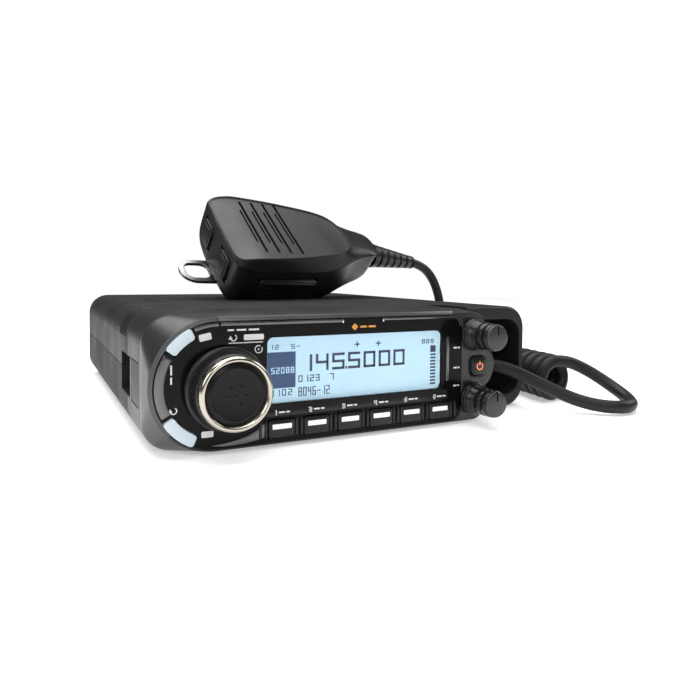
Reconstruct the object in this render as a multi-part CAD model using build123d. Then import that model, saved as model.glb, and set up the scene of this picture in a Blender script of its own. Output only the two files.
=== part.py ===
"""Mobile transceiver with a detachable control head and a hand microphone on a curly cord.

Millimetres. X runs to the right, Y towards the back and Z up. While a piece is modelled, Y counts back
from the face of the display panel; every finished solid is then moved so that the origin lies at the
centre of the underside of the radio.
"""

from build123d import *
import math
import os

os.makedirs("parts", exist_ok=True)

# ---------------------------------------------------------------- driving dimensions
body_width = 150.0
body_height = 40.0
body_depth = 172.6           # from the display panel's face to the back of the heat sink
corner_radius = 9.0
fit_gap = 0.2                # between housings that close on each other
key_gap = 0.25               # round every key and button
bore_gap = 0.05              # radial, between a shaft and its bearing
part_gap = 0.3               # between bodies that move past each other

# main unit
head_depth = 31.0            # control head, from the panel's face to its back
frame_thickness = 5.0        # front frame, behind the control head
bulkhead = 3.0
frame_wall = 3.0
cover_sheet = 1.2
seam_height = 20.4           # where the top cover meets the chassis
floor_thickness = 3.0
side_wall = 2.4
sink_depth = 9.0             # heat-sink fins behind the rear wall
rear_wall = 3.0
fin_pitch = 4.0
fin_width = 1.6
fin_count = 12
wing_face = 15.0             # front edge of the frame's right-hand wing
wing_wall = 2.6
wing_lip = 5.0
board_height = 9.0
board_sheet = 1.6
boss_radius = 3.5
bracket_spacing_x = 100.0
bracket_spacing_y = 70.0
bracket_hole_radius = 1.65   # tapped M4
bracket_hole_depth = 7.0
case_screw_radius = 1.4
case_screw_head = 2.7
case_screw_length = 8.0
case_screw_inset = 12.5      # from the radio's side
case_screw_front = 57.5
case_screw_rear = 9.0        # ahead of the rear wall
board_screw_inset = 21.0     # from the radio's side
board_screw_rows = (50.0, 132.0)
board_inset = 8.0
board_span = (44.0, 138.0)
self_thread = 0.05           # how much wider a screw's hole is than the screw
fan_side = 30.0
fan_depth = 9.0
fan_x = 0.0
rotor_radius = 12.6
rotor_hub_radius = 6.0
rotor_shaft_radius = 1.0
rotor_blades = 7
antenna_x = 60.0
antenna_radius = 7.85
antenna_length = 14.0
supply_x = 27.0
supply_width = 17.0
supply_height = 11.0
supply_length = 13.0
supply_wall = 1.4
jack_x = 43.5
jack_bore_radius = 1.8
jack_bore_length = 10.0
module_span = (-55.0, -20.0, 140.0, 155.0)   # power amplifier block, seen from above
module_height = 8.0
module_ear = 3.0
module_ear_width = 7.0
shield_span = (0.0, 52.0, 58.0, 98.0)
shield_height = 8.0
shield_sheet = 0.5
speaker_radius = 20.0
speaker_x = -32.0
speaker_y = 114.0
slot_length = 8.0
slot_width = 1.8
slot_pitch_x = 11.0
slot_pitch_y = 6.5
slot_columns = 11
slot_rows = 6
slots_front = 92.0

# control head
head_width = 118.2
head_right_radius = 6.0
bezel_depth = 12.0
bezel_set_back = 10.0        # the bezel's rim slopes back over this depth
bezel_slope = 0.9            # and stands in by this much at the panel
bezel_wall = 2.2
bezel_skin = 3.6
lobe_radius = 8.6            # the bulge beside the power key
lobe_shift = 0.9             # its centre, to the left of the power key's
lobe_wall = 1.2
panel_thickness = 2.0
panel_margin = 1.6
panel_width = 105.4
panel_right_radius = 4.0
panel_ledge = 1.6
window_left = 34.9           # from the radio's left side
window_right = 8.8           # from the panel's right edge
window_top = 5.3             # from the panel's top edge
window_bottom = 11.6         # from the panel's bottom edge
window_radius = 2.0
window_sheet = 1.4
display_border = 2.4
display_back = 5.4
light_thickness = 2.0
head_board_y = 9.0
shell_wall = 2.0
head_screw_edge = 8.5        # from the top and the underside
head_screw_left = 12.0       # from the head's left side
head_screw_right = 13.6      # from its right side
latch_front = 14.5           # side latch button
latch_back = 28.0
latch_low = 12.5
latch_high = 25.5
recess_back = 50.0
recess_depth = 3.0

# dial, knobs and keys
dial_x = 22.0                # from the radio's left side
dial_drop = 0.8              # below mid height
dial_radius = 12.2
dial_front = -12.4
dial_ring_radius = 10.5
dial_cap_radius = 8.1
dimple_circle = 3.1
dimple_radius = 0.55
dimple_count = 6
dial_bowl_radius = 60.0
knob_x = 111.7               # from the radio's left side
knob_edge = 8.7              # from the top and from the underside
knob_radius = 5.7
knob_waist = 4.8
knob_cap_radius = 4.4
knob_front = -14.6
shaft_radius = 2.0
bush_radius = 3.5
key_count = 6
key_pitch = 11.6
key_first = 39.3             # first key, from the radio's left side
key_width = 8.4
key_height = 5.4
key_low = 2.9
key_proud = 1.0
key_back = 4.6
key_flange = 0.6
key_radius = 0.6
key_travel = 0.5
lit_width = 3.4              # the two lit keys are pieces of a ring round the panel's left end
lit_overlap = 0.3            # how far they reach past the panel's edge
lit_cap = 1.6                # how deep a lit key's cap reaches behind the panel's face
power_x = 114.3              # from the radio's left side
power_width = 6.6
power_height = 6.5
power_radius = 1.6

# microphone jack and plug
plug_inset = 18.0            # from the radio's right side
plug_z = 17.4
plug_width = 11.6
plug_height = 7.0
plug_front = 27.0
plug_length = 15.0
plug_gap = 0.15
jack_wall = 1.6              # round the plug's cavity
jack_size = (9.0, 7.5, 8.0, 12.0)   # the socket's block: half width, below, above, depth
boot_radius = 4.4
boot_length = 6.0

# hand microphone, in its own frame: U runs down its length towards the cord, V towards the talk key
# and W from the grille face to its back
mic_origin = (-23.0, 105.4, body_height + 34.7)
mic_u = (0.992, 0.12, -0.026)
mic_w = (-0.094, 0.607, -0.789)
mic_wall = 2.0
mic_seam = 7.0
mic_rest = 0.2               # clearance under the flank it lies on
mic_stations = [             # (u, half width, low w, high w, corner radius)
    (0.0, 21.5, 1.5, 24.5, 7.0),
    (7.0, 25.6, 0.2, 27.0, 8.0),
    (26.0, 26.6, 0.0, 28.5, 9.0),
    (48.0, 24.4, 0.0, 28.0, 9.0),
    (62.0, 18.4, 0.6, 25.5, 8.5),
    (74.0, 12.6, 2.6, 22.4, 7.5),
    (88.0, 9.2, 4.4, 20.4, 7.0),
]
grille_first = 15.0
grille_pitch = 6.3
grille_half = 19.4
grille_width = 1.5
talk_u = (11.0, 42.0)
talk_w = (10.0, 22.0)
talk_proud = 27.9
talk_inner = 21.5
step_v = (6.0, 19.0)         # up and down keys on the top end
step_w = (8.0, 20.0)
step_proud = 1.3
step_inner = 5.0
hanger_sheet = 1.5
hanger_w = 28.9
hanger_v = -2.0
hanger_width = 16.4
hanger_bar = 2.6
hanger_reach = 13.7
hanger_screw_u = 9.0
relief_start = (86.0, 0.2, 12.4)
relief_end = (116.0, 4.0, 13.2)
relief_root = 5.0
relief_tip = 3.6
relief_ribs = 6

# cord
cord_diameter = 5.0
coil_diameter = 19.4
coil_front = 18.0            # where the curly part begins, from the panel's face
coil_back = 98.0

# ---------------------------------------------------------------- worked-out values
half_width = body_width / 2
plug_x = half_width - plug_inset
left = -half_width
shell_front = head_depth + frame_thickness + fit_gap
wall_back = body_depth - sink_depth
wall_front = wall_back - rear_wall
cover_inside = cover_sheet + fit_gap
head_right = left + head_width
wing_left = head_right + lobe_radius - knob_radius - 0.3
dial_at = (left + dial_x, body_height / 2 - dial_drop)
upper_knob_at = (left + knob_x, body_height - knob_edge)
lower_knob_at = (left + knob_x, knob_edge)
power_at = (left + power_x, body_height / 2)
lobe_at = (power_at[0] - lobe_shift, power_at[1])
panel_low = panel_margin
panel_high = body_height - panel_margin
panel_end_radius = (panel_high - panel_low) / 2
panel_left = left + panel_margin
panel_right = panel_left + panel_width
lit_outer = panel_end_radius + lit_overlap
lit_inner = lit_outer - lit_width
panel_end = (panel_left + panel_end_radius, body_height / 2)
window_box = (left + window_left, panel_right - window_right, panel_low + window_bottom,
              panel_high - window_top)
key_centres = [left + key_first + key_pitch * i for i in range(key_count)]


# ---------------------------------------------------------------- shapes used throughout
def span(x0, x1, y0, y1, z0, z1):
    """A block between two corners."""
    return Pos((x0 + x1) / 2, (y0 + y1) / 2, (z0 + z1) / 2) * Box(x1 - x0, y1 - y0, z1 - z0)


def facade(y):
    """The upright plane at depth y, seen from the front: its own axes are X and Z."""
    return Plane(origin=(0, y, 0), x_dir=(1, 0, 0), z_dir=(0, -1, 0))


def prism(sketch, y0, y1):
    """A front-view sketch carried from depth y0 to depth y1."""
    return extrude(facade(y1) * sketch, y1 - y0)


def outline(x0, x1, z0, z1, left_radius, right_radius):
    """A rectangle whose two left corners and two right corners have their own radii."""
    face = Pos((x0 + x1) / 2, (z0 + z1) / 2) * Rectangle(x1 - x0, z1 - z0)
    if left_radius > 0:
        face = fillet(face.vertices().group_by(Axis.X)[0], left_radius)
    if right_radius > 0:
        face = fillet(face.vertices().group_by(Axis.X)[-1], right_radius)
    return face


def body_outline(inset):
    """The radio's front view, drawn in by inset all round."""
    radius = corner_radius - inset
    return outline(left + inset, half_width - inset, inset, body_height - inset, radius, radius)


def disc(at, radius):
    return Pos(at[0], at[1]) * Circle(radius)


def rod(at, y0, y1, radius):
    """A round bar running front to back."""
    return prism(disc(at, radius), y0, y1)


def post(x, y, z0, z1, radius):
    """An upright round bar."""
    return Pos(x, y, (z0 + z1) / 2) * Cylinder(radius, z1 - z0)


def turned(points, origin, direction):
    """A turned piece: points are (distance along the axis, radius), both ends on the axis."""
    profile = Plane.XZ * make_face(Polyline(*[(r, a) for a, r in points], close=True))
    return Plane(origin=origin, z_dir=direction) * revolve(profile, Axis.Z)


def all_of(pieces):
    """Several separate solids as one piece."""
    return Compound([solid for piece in pieces for solid in piece.solids()])


# ---------------------------------------------------------------- main unit
def chassis():
    """Die-cast tray with its rear wall, heat-sink fins, bosses and screw posts."""
    below_seam = span(left - 1, half_width + 1, 0, body_depth + 1, -1, seam_height)
    above_seam = span(left - 1, half_width + 1, 0, body_depth + 1, seam_height, body_height + 1)
    tray = prism(body_outline(0), shell_front, body_depth) & below_seam
    inside = outline(left + side_wall, half_width - side_wall, floor_thickness,
                     body_height + corner_radius, corner_radius - side_wall, corner_radius - side_wall)
    tray -= prism(inside, shell_front - 1, wall_front)
    tray -= prism(inside, wall_back, body_depth + 1)
    rear = prism(body_outline(cover_inside), wall_front, wall_back) & above_seam
    casting = tray + rear
    for index in range(fin_count):
        x = left + side_wall + fin_pitch * (index + 0.6)
        fin = span(x, x + fin_width, wall_back - 0.1, body_depth, floor_thickness - 0.1, body_height)
        casting += fin & prism(body_outline(cover_inside), wall_back - 0.2, body_depth)
    block = span(left, left + side_wall + recess_depth, shell_front, recess_back + 3, 5, latch_high + 4)
    casting += block & (prism(body_outline(0), shell_front, body_depth) & below_seam)
    casting += block & (prism(body_outline(cover_inside), shell_front, body_depth) & above_seam)
    casting -= span(left - 1, left + recess_depth, 0, recess_back, latch_low, latch_high)
    for x, y in bracket_points():
        casting += post(x, y, 0, bracket_hole_depth + 1.5, boss_radius + 1)
        casting -= post(x, y, -1, bracket_hole_depth, bracket_hole_radius)
    for x, y in case_screw_points():
        top = body_height - cover_inside
        casting += post(x, y, 1, top, boss_radius)
        casting -= post(x, y, top - case_screw_length, top + 1, case_screw_radius + self_thread)
    for x, y in board_screw_points():
        casting += post(x, y, 1, board_height, boss_radius - 0.5)
        casting -= post(x, y, board_height - 5, board_height + 1, case_screw_radius + self_thread)
    casting -= rod((fan_x, body_height / 2), wall_front - 1, wall_back + 1, rotor_radius + 1)
    casting -= rod((antenna_x, body_height / 2), wall_front - 1, wall_back + 1, antenna_radius - 1 + fit_gap)
    casting -= supply_block(fit_gap, wall_front - 1, wall_back + 1)
    for at in jack_points():
        casting -= rod(at, wall_front - 1, wall_back + 1, jack_bore_radius + 1.4 + fit_gap)
    return casting


def bracket_points():
    middle = body_depth / 2
    return [(sx * bracket_spacing_x / 2, middle + sy * bracket_spacing_y / 2)
            for sx in (-1, 1) for sy in (-1, 1)]


def case_screw_points():
    return [(sx * (half_width - case_screw_inset), y) for sx in (-1, 1)
            for y in (case_screw_front, wall_front - case_screw_rear)]


def board_screw_points():
    return [(sx * (half_width - board_screw_inset), y) for sx in (-1, 1) for y in board_screw_rows]


def jack_points():
    return [(jack_x, body_height / 2 - 6), (jack_x, body_height / 2 + 6)]


def supply_block(grow, y0, y1):
    """The supply socket's outer block, grown all round."""
    return prism(outline(supply_x - supply_width / 2 - grow, supply_x + supply_width / 2 + grow,
                         body_height / 2 - supply_height / 2 - grow,
                         body_height / 2 + supply_height / 2 + grow, 1.2, 1.2), y0, y1)


def case_screw(x, y, top, grow):
    """A countersunk screw, head up, with its head grown by grow for the hole that seats it."""
    head = [(0, 0), (0, case_screw_head + grow), (-1.1 - grow, case_screw_radius + grow)]
    shank = [(-case_screw_length + 1, case_screw_radius + grow), (-case_screw_length, 0)]
    return turned(head + shank, (x, y, top), (0, 0, 1))


def top_cover():
    """Folded steel cover over the back of the radio, with its ventilation slots."""
    cover = prism(body_outline(0), shell_front, body_depth)
    cover -= prism(body_outline(cover_sheet), shell_front - 1, body_depth + 1)
    cover &= span(left - 1, half_width + 1, 0, body_depth + 1, seam_height + fit_gap, body_height + 1)
    cover -= span(left - 1, left + recess_depth, 0, recess_back, latch_low, latch_high)
    first = -slot_pitch_x * (slot_columns - 1) / 2
    for row in range(slot_rows):
        y = slots_front + slot_pitch_y * row
        for column in range(slot_columns):
            slot = Pos(first + slot_pitch_x * column, y) * SlotOverall(slot_length, slot_width)
            cover -= Pos(0, 0, body_height - 3) * extrude(slot, 4)
    for x, y in case_screw_points():
        cover -= case_screw(x, y, body_height + 0.01, 0.1)
    return cover


def front_frame():
    """Moulded frame behind the control head; its right-hand wing surrounds the microphone jack."""
    frame = prism(body_outline(0), head_depth, head_depth + frame_thickness)
    frame -= prism(body_outline(frame_wall), head_depth + bulkhead, head_depth + frame_thickness + 1)
    wing = prism(outline(wing_left, half_width, 0, body_height, 0, corner_radius), wing_face, head_depth)
    wing = chamfer(wing.faces().sort_by(Axis.Y)[0].edges(), 0.8)
    wing -= prism(outline(wing_left - 30, half_width - wing_wall, wing_lip, body_height - wing_lip,
                          0, corner_radius - wing_wall), wing_face - 1, head_depth)
    frame += wing
    frame -= span(left - 1, left + recess_depth, head_depth - 1, recess_back, latch_low, latch_high)
    frame -= prism(plug_section(jack_wall + fit_gap), head_depth - 1, head_depth + bulkhead + 1)
    return frame


def mic_jack():
    """Modular socket behind the wing, with the cavity that the plug seats in."""
    y0 = head_depth + bulkhead + 0.1
    half, below, above, depth = jack_size
    block = span(plug_x - half, plug_x + half, y0, y0 + depth, plug_z - below, plug_z + above)
    block += prism(plug_section(jack_wall), head_depth + 0.4, y0)
    return block - prism(plug_section(plug_gap), head_depth - 1, plug_front + plug_length + plug_gap)


def plug_section(grow):
    return outline(plug_x - plug_width / 2 - grow, plug_x + plug_width / 2 + grow,
                   plug_z - plug_height / 2 - grow, plug_z + plug_height / 2 + grow, 0.5, 0.5)


def main_board():
    board = span(left + board_inset, half_width - board_inset, *board_span, board_height,
                 board_height + board_sheet)
    board -= span(plug_x - 10, half_width, 43.0, 48.5, 0, body_height)
    for x, y in board_screw_points():
        board -= post(x, y, 0, body_height, case_screw_radius + fit_gap)
    for x, y in case_screw_points():
        board -= post(x, y, 0, body_height, boss_radius + fit_gap)
    return board


def board_screws():
    """Pan-head screws that hold the main board to its bosses."""
    top = board_height + board_sheet
    return all_of([turned([(-4.5, 0), (-4.5, case_screw_radius), (0, case_screw_radius),
                           (0, case_screw_head), (1.4, case_screw_head - 0.5), (1.4, 0)],
                          (x, y, top), (0, 0, 1)) for x, y in board_screw_points()])


def shield_can():
    top = board_height + board_sheet
    x0, x1, y0, y1 = shield_span
    can = span(x0, x1, y0, y1, top, top + shield_height)
    can = fillet(can.edges().filter_by(Axis.Z), 1.5)
    return can - span(x0 + shield_sheet, x1 - shield_sheet, y0 + shield_sheet, y1 - shield_sheet,
                      top - 1, top + shield_height - shield_sheet)


def power_module():
    """Radio-frequency power amplifier block, screwed down to the chassis floor."""
    x0, x1, y0, y1 = module_span
    middle = (y0 + y1) / 2
    block = span(x0, x1, y0, y1, floor_thickness, floor_thickness + module_height)
    return block + span(x0 - module_ear, x1 + module_ear, middle - module_ear_width / 2,
                        middle + module_ear_width / 2, floor_thickness, floor_thickness + module_ear)


def speaker():
    """Round loudspeaker that fires up through the slots in the cover."""
    top = body_height - cover_inside - 0.3
    rim = speaker_radius
    profile = [(0, 0), (0, rim), (-1.5, rim), (-8, rim - 8), (-8, rim - 9), (-13, rim - 9), (-13, 0)]
    return turned(profile, (speaker_x, speaker_y, top), (0, 0, 1))


def fan_frame():
    centre = (fan_x, body_height / 2)
    half = fan_side / 2
    y0 = wall_front - fan_depth
    frame = prism(outline(fan_x - half, fan_x + half, centre[1] - half, centre[1] + half, 2, 2),
                  y0, wall_front)
    frame -= rod(centre, y0 + 2, wall_front + 1, rotor_radius + 0.8)
    frame -= rod(centre, y0 - 1, y0 + 3, rotor_radius + 0.8)
    hub = rod(centre, y0, y0 + 1.6, rotor_hub_radius)
    for angle in (45, 135):
        arm = Pos(*centre) * Rot(0, 0, angle) * Rectangle(2 * rotor_radius + 3, 2.0)
        hub += prism(arm, y0, y0 + 1.6)
    return frame + hub - rod(centre, y0 - 1, y0 + 2, rotor_shaft_radius + bore_gap)


def fan_rotor():
    centre = (fan_x, body_height / 2)
    y0 = wall_front - fan_depth + 2.2
    rotor = rod(centre, y0, wall_front - 0.8, rotor_hub_radius)
    pitch = 360 / rotor_blades
    depth = wall_front - 0.8 - y0
    for index in range(rotor_blades):
        blade = Box(rotor_radius - rotor_hub_radius + 0.8, 1.0, depth * 1.1)
        blade = Rot(38, 0, 0) * blade
        blade = Pos((rotor_radius + rotor_hub_radius) / 2 - 0.4, 0, 0) * blade
        blade = Rot(0, 0, pitch * index) * blade
        rotor += Plane(origin=(centre[0], y0 + depth / 2, centre[1]), z_dir=(0, 1, 0)) * blade
    rotor &= rod(centre, y0, wall_front - 0.8, rotor_radius)
    return rotor + rod(centre, y0 - 2, y0 + 1, rotor_shaft_radius)


def antenna_socket():
    """Threaded coaxial socket on a square flange."""
    z = body_height / 2
    flange = prism(outline(antenna_x - 10, antenna_x + 10, z - 10, z + 10, 2, 2), wall_back, wall_back + 2)
    bore = antenna_radius - 3
    barrel = rod((antenna_x, z), wall_back, wall_back + antenna_length, antenna_radius)
    barrel += rod((antenna_x, z), wall_front - 3, wall_back + 1, antenna_radius - 1)
    barrel -= rod((antenna_x, z), wall_back + 1, wall_back + antenna_length + 1, bore)
    liner = rod((antenna_x, z), wall_back - 1, wall_back + antenna_length - 2, 3.2)
    return flange + barrel + (liner - rod((antenna_x, z), wall_back + 3, wall_back + antenna_length, 1.9))


def supply_socket():
    """Two-pin socket for the supply lead."""
    z = body_height / 2
    y1 = wall_back + supply_length
    block = supply_block(0, wall_front - 2, y1)
    hollow = outline(supply_x - supply_width / 2 + supply_wall, supply_x + supply_width / 2 - supply_wall,
                     z - supply_height / 2 + supply_wall, z + supply_height / 2 - supply_wall, 0.6, 0.6)
    block -= prism(hollow, y1 - 10, y1 + 1)
    for x in (supply_x - 3.6, supply_x + 3.6):
        block += span(x - 0.5, x + 0.5, y1 - 10.5, y1 - 2.5, z - 2.4, z + 2.4)
    flange = prism(outline(supply_x - supply_width / 2 - 1.5, supply_x + supply_width / 2 + 1.5,
                           z - supply_height / 2 - 1.5, z + supply_height / 2 + 1.5, 1.5, 1.5),
                   wall_back, wall_back + 1.2)
    return block + flange


def speaker_jacks():
    """Two round jacks for outside loudspeakers."""
    jacks = []
    for at in jack_points():
        jack = rod(at, wall_front - 6, wall_back + 2, jack_bore_radius + 1.4)
        jack += rod(at, wall_back, wall_back + 1.2, jack_bore_radius + 2.2)
        jacks.append(jack - rod(at, wall_back + 2 - jack_bore_length, wall_back + 3, jack_bore_radius))
    return all_of(jacks)


# ---------------------------------------------------------------- control head
def head_outline(inset, radius):
    return outline(left + inset, head_right - inset, inset, body_height - inset, radius,
                   head_right_radius - inset)


def panel_outline(inset):
    return outline(panel_left + inset, panel_right - inset, panel_low + inset, panel_high - inset,
                   panel_end_radius - inset - 0.01, panel_right_radius - min(inset, 1))


def sector(inner, outer, start, end):
    """Part of a ring round the panel's left end, between two angles from the X axis."""
    reach = 2 * outer
    corners = [(reach * math.cos(math.radians(a)), reach * math.sin(math.radians(a)))
               for a in (start, (start + end) / 2, end)]
    wedge = make_face(Polyline((0, 0), *corners, close=True))
    return Pos(*panel_end) * ((Circle(outer) - Circle(inner)) & wedge)


def lit_key_section(which, grow, outer=lit_outer):
    start, end = {"menu": (116, 144), "back": (212, 246)}[which]
    spread = math.degrees(grow / lit_inner)
    return sector(lit_inner - grow, outer + grow, start - spread, end + spread)


def key_section(x, grow):
    half = key_width / 2 + grow
    return outline(x - half, x + half, key_low - grow, key_low + key_height + grow, key_radius, key_radius)


def power_section(grow):
    x, z = power_at
    half = power_width / 2 + grow
    return outline(x - half, x + half, z - power_height / 2 - grow, z + power_height / 2 + grow,
                   power_radius, power_radius)


def plunger(section, proud, flange):
    """A push key: its cap passes through the panel and its flange keeps it from falling out."""
    return prism(section(0), -proud, key_back) + prism(section(flange), key_back - 0.7, key_back)


def lit_key(which):
    """A lit key: its cap overlaps the bezel and its narrower stem passes through the panel's opening."""
    stem = panel_end_radius - panel_ledge - part_gap
    key = prism(lit_key_section(which, 0), -0.8, lit_cap)
    key += prism(lit_key_section(which, 0, stem), lit_cap - 0.1, key_back)
    return key + prism(lit_key_section(which, 0.5, stem - 0.5), key_back - 0.7, key_back)


def bezel():
    """Moulded front ring of the control head, with its right-hand face for the knobs."""
    back_face = facade(bezel_set_back) * head_outline(0, corner_radius)
    front_face = facade(0) * head_outline(bezel_slope, panel_end_radius)
    ring = loft([back_face.face(), front_face.face()])
    ring += prism(head_outline(0, corner_radius), bezel_set_back, bezel_depth)
    ring += prism(disc(lobe_at, lobe_radius), 0.4, bezel_depth)
    ring -= prism(panel_outline(-fit_gap / 2), -1, panel_thickness + 0.1)
    ring -= prism(panel_outline(panel_ledge), 0, bezel_skin + 1)
    wide = head_outline(bezel_wall, corner_radius - bezel_wall)
    narrow = head_outline(bezel_wall, panel_end_radius - bezel_wall)
    ring -= loft([(facade(bezel_set_back) * wide).face(), (facade(bezel_skin) * narrow).face()])
    ring -= prism(wide, bezel_set_back, bezel_depth + 1)
    ring -= prism(disc(lobe_at, lobe_radius - lobe_wall), bezel_skin, bezel_depth + 1)
    for at in (upper_knob_at, lower_knob_at):
        ring -= rod(at, -1, bezel_skin + 1, bush_radius + fit_gap)
    ring -= prism(power_section(key_gap), -1, bezel_skin + 1)
    ring -= prism(lit_key_section("menu", key_gap), -1, lit_cap + key_travel + key_gap)
    ring -= prism(lit_key_section("back", key_gap), -1, lit_cap + key_travel + key_gap)
    for x in key_centres:
        ring -= prism(key_section(x, key_gap), -1, bezel_skin + 1)
    return ring


def display_panel():
    """Glossy front panel with openings for the window, the dial and the keys."""
    panel = prism(panel_outline(0), 0, panel_thickness)
    x0, x1, z0, z1 = window_box
    panel -= prism(outline(x0 - 0.1, x1 + 0.1, z0 - 0.1, z1 + 0.1, window_radius, window_radius),
                   -1, panel_thickness + 1)
    panel -= rod(dial_at, -1, panel_thickness + 1, bush_radius + fit_gap)
    panel -= prism(lit_key_section("menu", key_gap), -1, panel_thickness + 1)
    panel -= prism(lit_key_section("back", key_gap), -1, panel_thickness + 1)
    for x in key_centres:
        panel -= prism(key_section(x, key_gap), -1, panel_thickness + 1)
    return panel


def display_window():
    x0, x1, z0, z1 = window_box
    return prism(outline(x0, x1, z0, z1, window_radius - 0.1, window_radius - 0.1),
                 panel_thickness - window_sheet, panel_thickness)


def behind_window(border, y0, y1):
    x0, x1, z0, z1 = window_box
    return span(x0 - border, x1 + border, y0, y1, z0 - border + 0.4, z1 + border)


def head_shell():
    """Back shell of the control head, with a lip that fits inside the bezel."""
    y0 = bezel_depth + part_gap
    shell = prism(head_outline(0, corner_radius), y0, head_depth - fit_gap)
    lip_inset = bezel_wall + fit_gap
    lip_wall = 1.2
    inside = lip_inset + lip_wall
    shell += prism(head_outline(lip_inset, corner_radius - lip_inset), bezel_depth - 1.0, y0 + 0.5)
    shell -= prism(head_outline(inside, corner_radius - inside), bezel_depth - 2, head_depth - shell_wall)
    shell += prism(disc(lobe_at, lobe_radius), y0, head_depth - fit_gap) - \
        prism(disc(lobe_at, lobe_radius - lobe_wall), y0 - 1, head_depth - shell_wall) - \
        prism(head_outline(inside, corner_radius - inside), y0 - 1, head_depth - shell_wall)
    shell -= span(left - 1, left + inside + 0.5, latch_front - part_gap, latch_back + part_gap,
                  latch_low - part_gap, latch_high + part_gap)
    for x, z in head_screw_points():
        shell += rod((x, z), head_board_y + board_sheet, head_depth - shell_wall + 0.5, 2.6)
        shell -= rod((x, z), head_board_y, head_depth - 6, 1.0)
    return shell


def head_screw_points():
    return [(x, z) for x in (left + head_screw_left, head_right - head_screw_right)
            for z in (head_screw_edge, body_height - head_screw_edge)]


def head_board():
    y1 = head_board_y + board_sheet
    inset = bezel_wall + 1.6
    board = prism(head_outline(inset, 4.0), head_board_y, y1)
    for at in head_screw_points():
        board -= rod(at, head_board_y - 1, y1 + 1, 1.2)
    return board


def head_screws():
    """Small screws that hold the board to the back shell's posts."""
    return all_of([turned([(-1.2, 0), (-1.2, 1.6), (0, 1.9), (0, 0.95), (7, 0.95), (7, 0)],
                          (x, head_board_y, z), (0, 1, 0)) for x, z in head_screw_points()])


def encoder(at, bush_front, half):
    """Rotary encoder on the board: a square body with a threaded bush for its shaft."""
    x, z = at
    body = span(x - half, x + half, 4.2, head_board_y, z - half, z + half)
    body += rod(at, bush_front, 5, bush_radius)
    return body - rod(at, bush_front - 1, head_board_y - 0.5, shaft_radius + bore_gap)


def shaft(at, front):
    return rod(at, front, head_board_y - 0.8, shaft_radius)


def dial_skirt():
    """Knurled body of the main dial."""
    profile = [(0, 0), (0, dial_radius), (-2.2, dial_radius), (-2.8, dial_radius - 0.7),
               (-8.6, dial_ring_radius + 0.3), (-8.6, 0)]
    x, z = dial_at
    solid = turned(profile, (x, -0.8, z), (0, 1, 0))
    return solid - rod(dial_at, -7.5, 1, shaft_radius + 0.02)\
        - rod(dial_at, -2.0, 1, bush_radius + part_gap)


def dial_ring():
    """Bright plated ring on the front of the dial."""
    profile = [(0, dial_cap_radius + 0.2), (0, dial_ring_radius), (-2.2, dial_ring_radius),
               (-3.0, dial_ring_radius - 0.8), (-2.6, dial_cap_radius + 0.9), (-1.2, dial_cap_radius + 0.2)]
    x, z = dial_at
    return turned(profile, (x, dial_front + 3.0, z), (0, 1, 0))


def dial_cap():
    """Dished finger cap of the dial, with a ring of dimples and one in the middle."""
    x, z = dial_at
    y1 = dial_front + 3.0
    cap = rod(dial_at, dial_front + 1.0, y1, dial_cap_radius)
    sag = dial_cap_radius ** 2 / (2 * dial_bowl_radius)
    cap -= Pos(x, dial_front + 1.0 + sag - dial_bowl_radius, z) * Sphere(dial_bowl_radius)
    dimples = [(x, z)]
    for index in range(dimple_count):
        angle = math.radians(360 / dimple_count * index)
        dimples.append((x + dimple_circle * math.cos(angle), z + dimple_circle * math.sin(angle)))
    for at in dimples:
        cap -= rod(at, dial_front, dial_front + 2.0, dimple_radius)
    return cap


def knob(at):
    """Small turned knob with a pointer notch at its top."""
    x, z = at
    profile = [(0, 0), (0, knob_radius), (-2.6, knob_radius), (-3.4, knob_radius - 0.5), (-4.2, knob_waist),
               (-9.5, knob_waist - 0.1), (knob_front + 1.9, knob_cap_radius),
               (knob_front + 1.2, knob_cap_radius - 0.6), (knob_front + 0.8, 0)]
    solid = turned(profile, (x, -0.8, z), (0, 1, 0))
    solid -= rod(at, knob_front + 3.5, 1, shaft_radius + 0.02)
    solid -= rod(at, -2.0, 1, bush_radius + part_gap)
    notch = span(x - 0.35, x + 0.35, knob_front - 1, knob_front + 1.4, z + 1.2, z + knob_cap_radius + 1)
    return solid - notch


def latch_button():
    """Side button that lets the control head go; its flange keeps it in the shell."""
    face = span(left, left + 4.6, latch_front, latch_back, latch_low, latch_high)
    flange = span(left + 4.2, left + 5.4, latch_front - 1, latch_back + 0.4, latch_low - 1, latch_high + 1)
    return face + flange


def key_mat():
    """Rubber mat with a dome behind each of the lower keys."""
    low = key_low + 0.8
    y0 = head_board_y - 1.2
    mat = span(key_centres[0] - 5, key_centres[-1] + 5, y0, head_board_y, low, low + 5)
    for x in key_centres:
        mat += turned([(0, 0), (0, 2.2), (-2.0, 1.3), (-2.0, 0)], (x, y0, low + 2.5), (0, 1, 0))
    return mat


# ---------------------------------------------------------------- hand microphone
mic_plane = Plane(origin=mic_origin, x_dir=mic_u, z_dir=mic_w)


def mic_block(u, v, w):
    """A block in the microphone's frame from (low, high) pairs."""
    return span(u[0], u[1], v[0], v[1], w[0], w[1])


def mic_form(inset):
    """The microphone's outer form, drawn in by inset, in its own frame."""
    faces = []
    for u, half, low, high, radius in mic_stations:
        shift = {mic_stations[0][0]: inset, mic_stations[-1][0]: -inset}.get(u, 0)
        section = RectangleRounded(2 * (half - inset), high - low - 2 * inset, radius - inset)
        plane = Plane(origin=(u + shift, 0, (low + high) / 2), x_dir=(0, 1, 0), z_dir=(1, 0, 0))
        faces.append((plane * section).face())
    return loft(faces)


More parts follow.
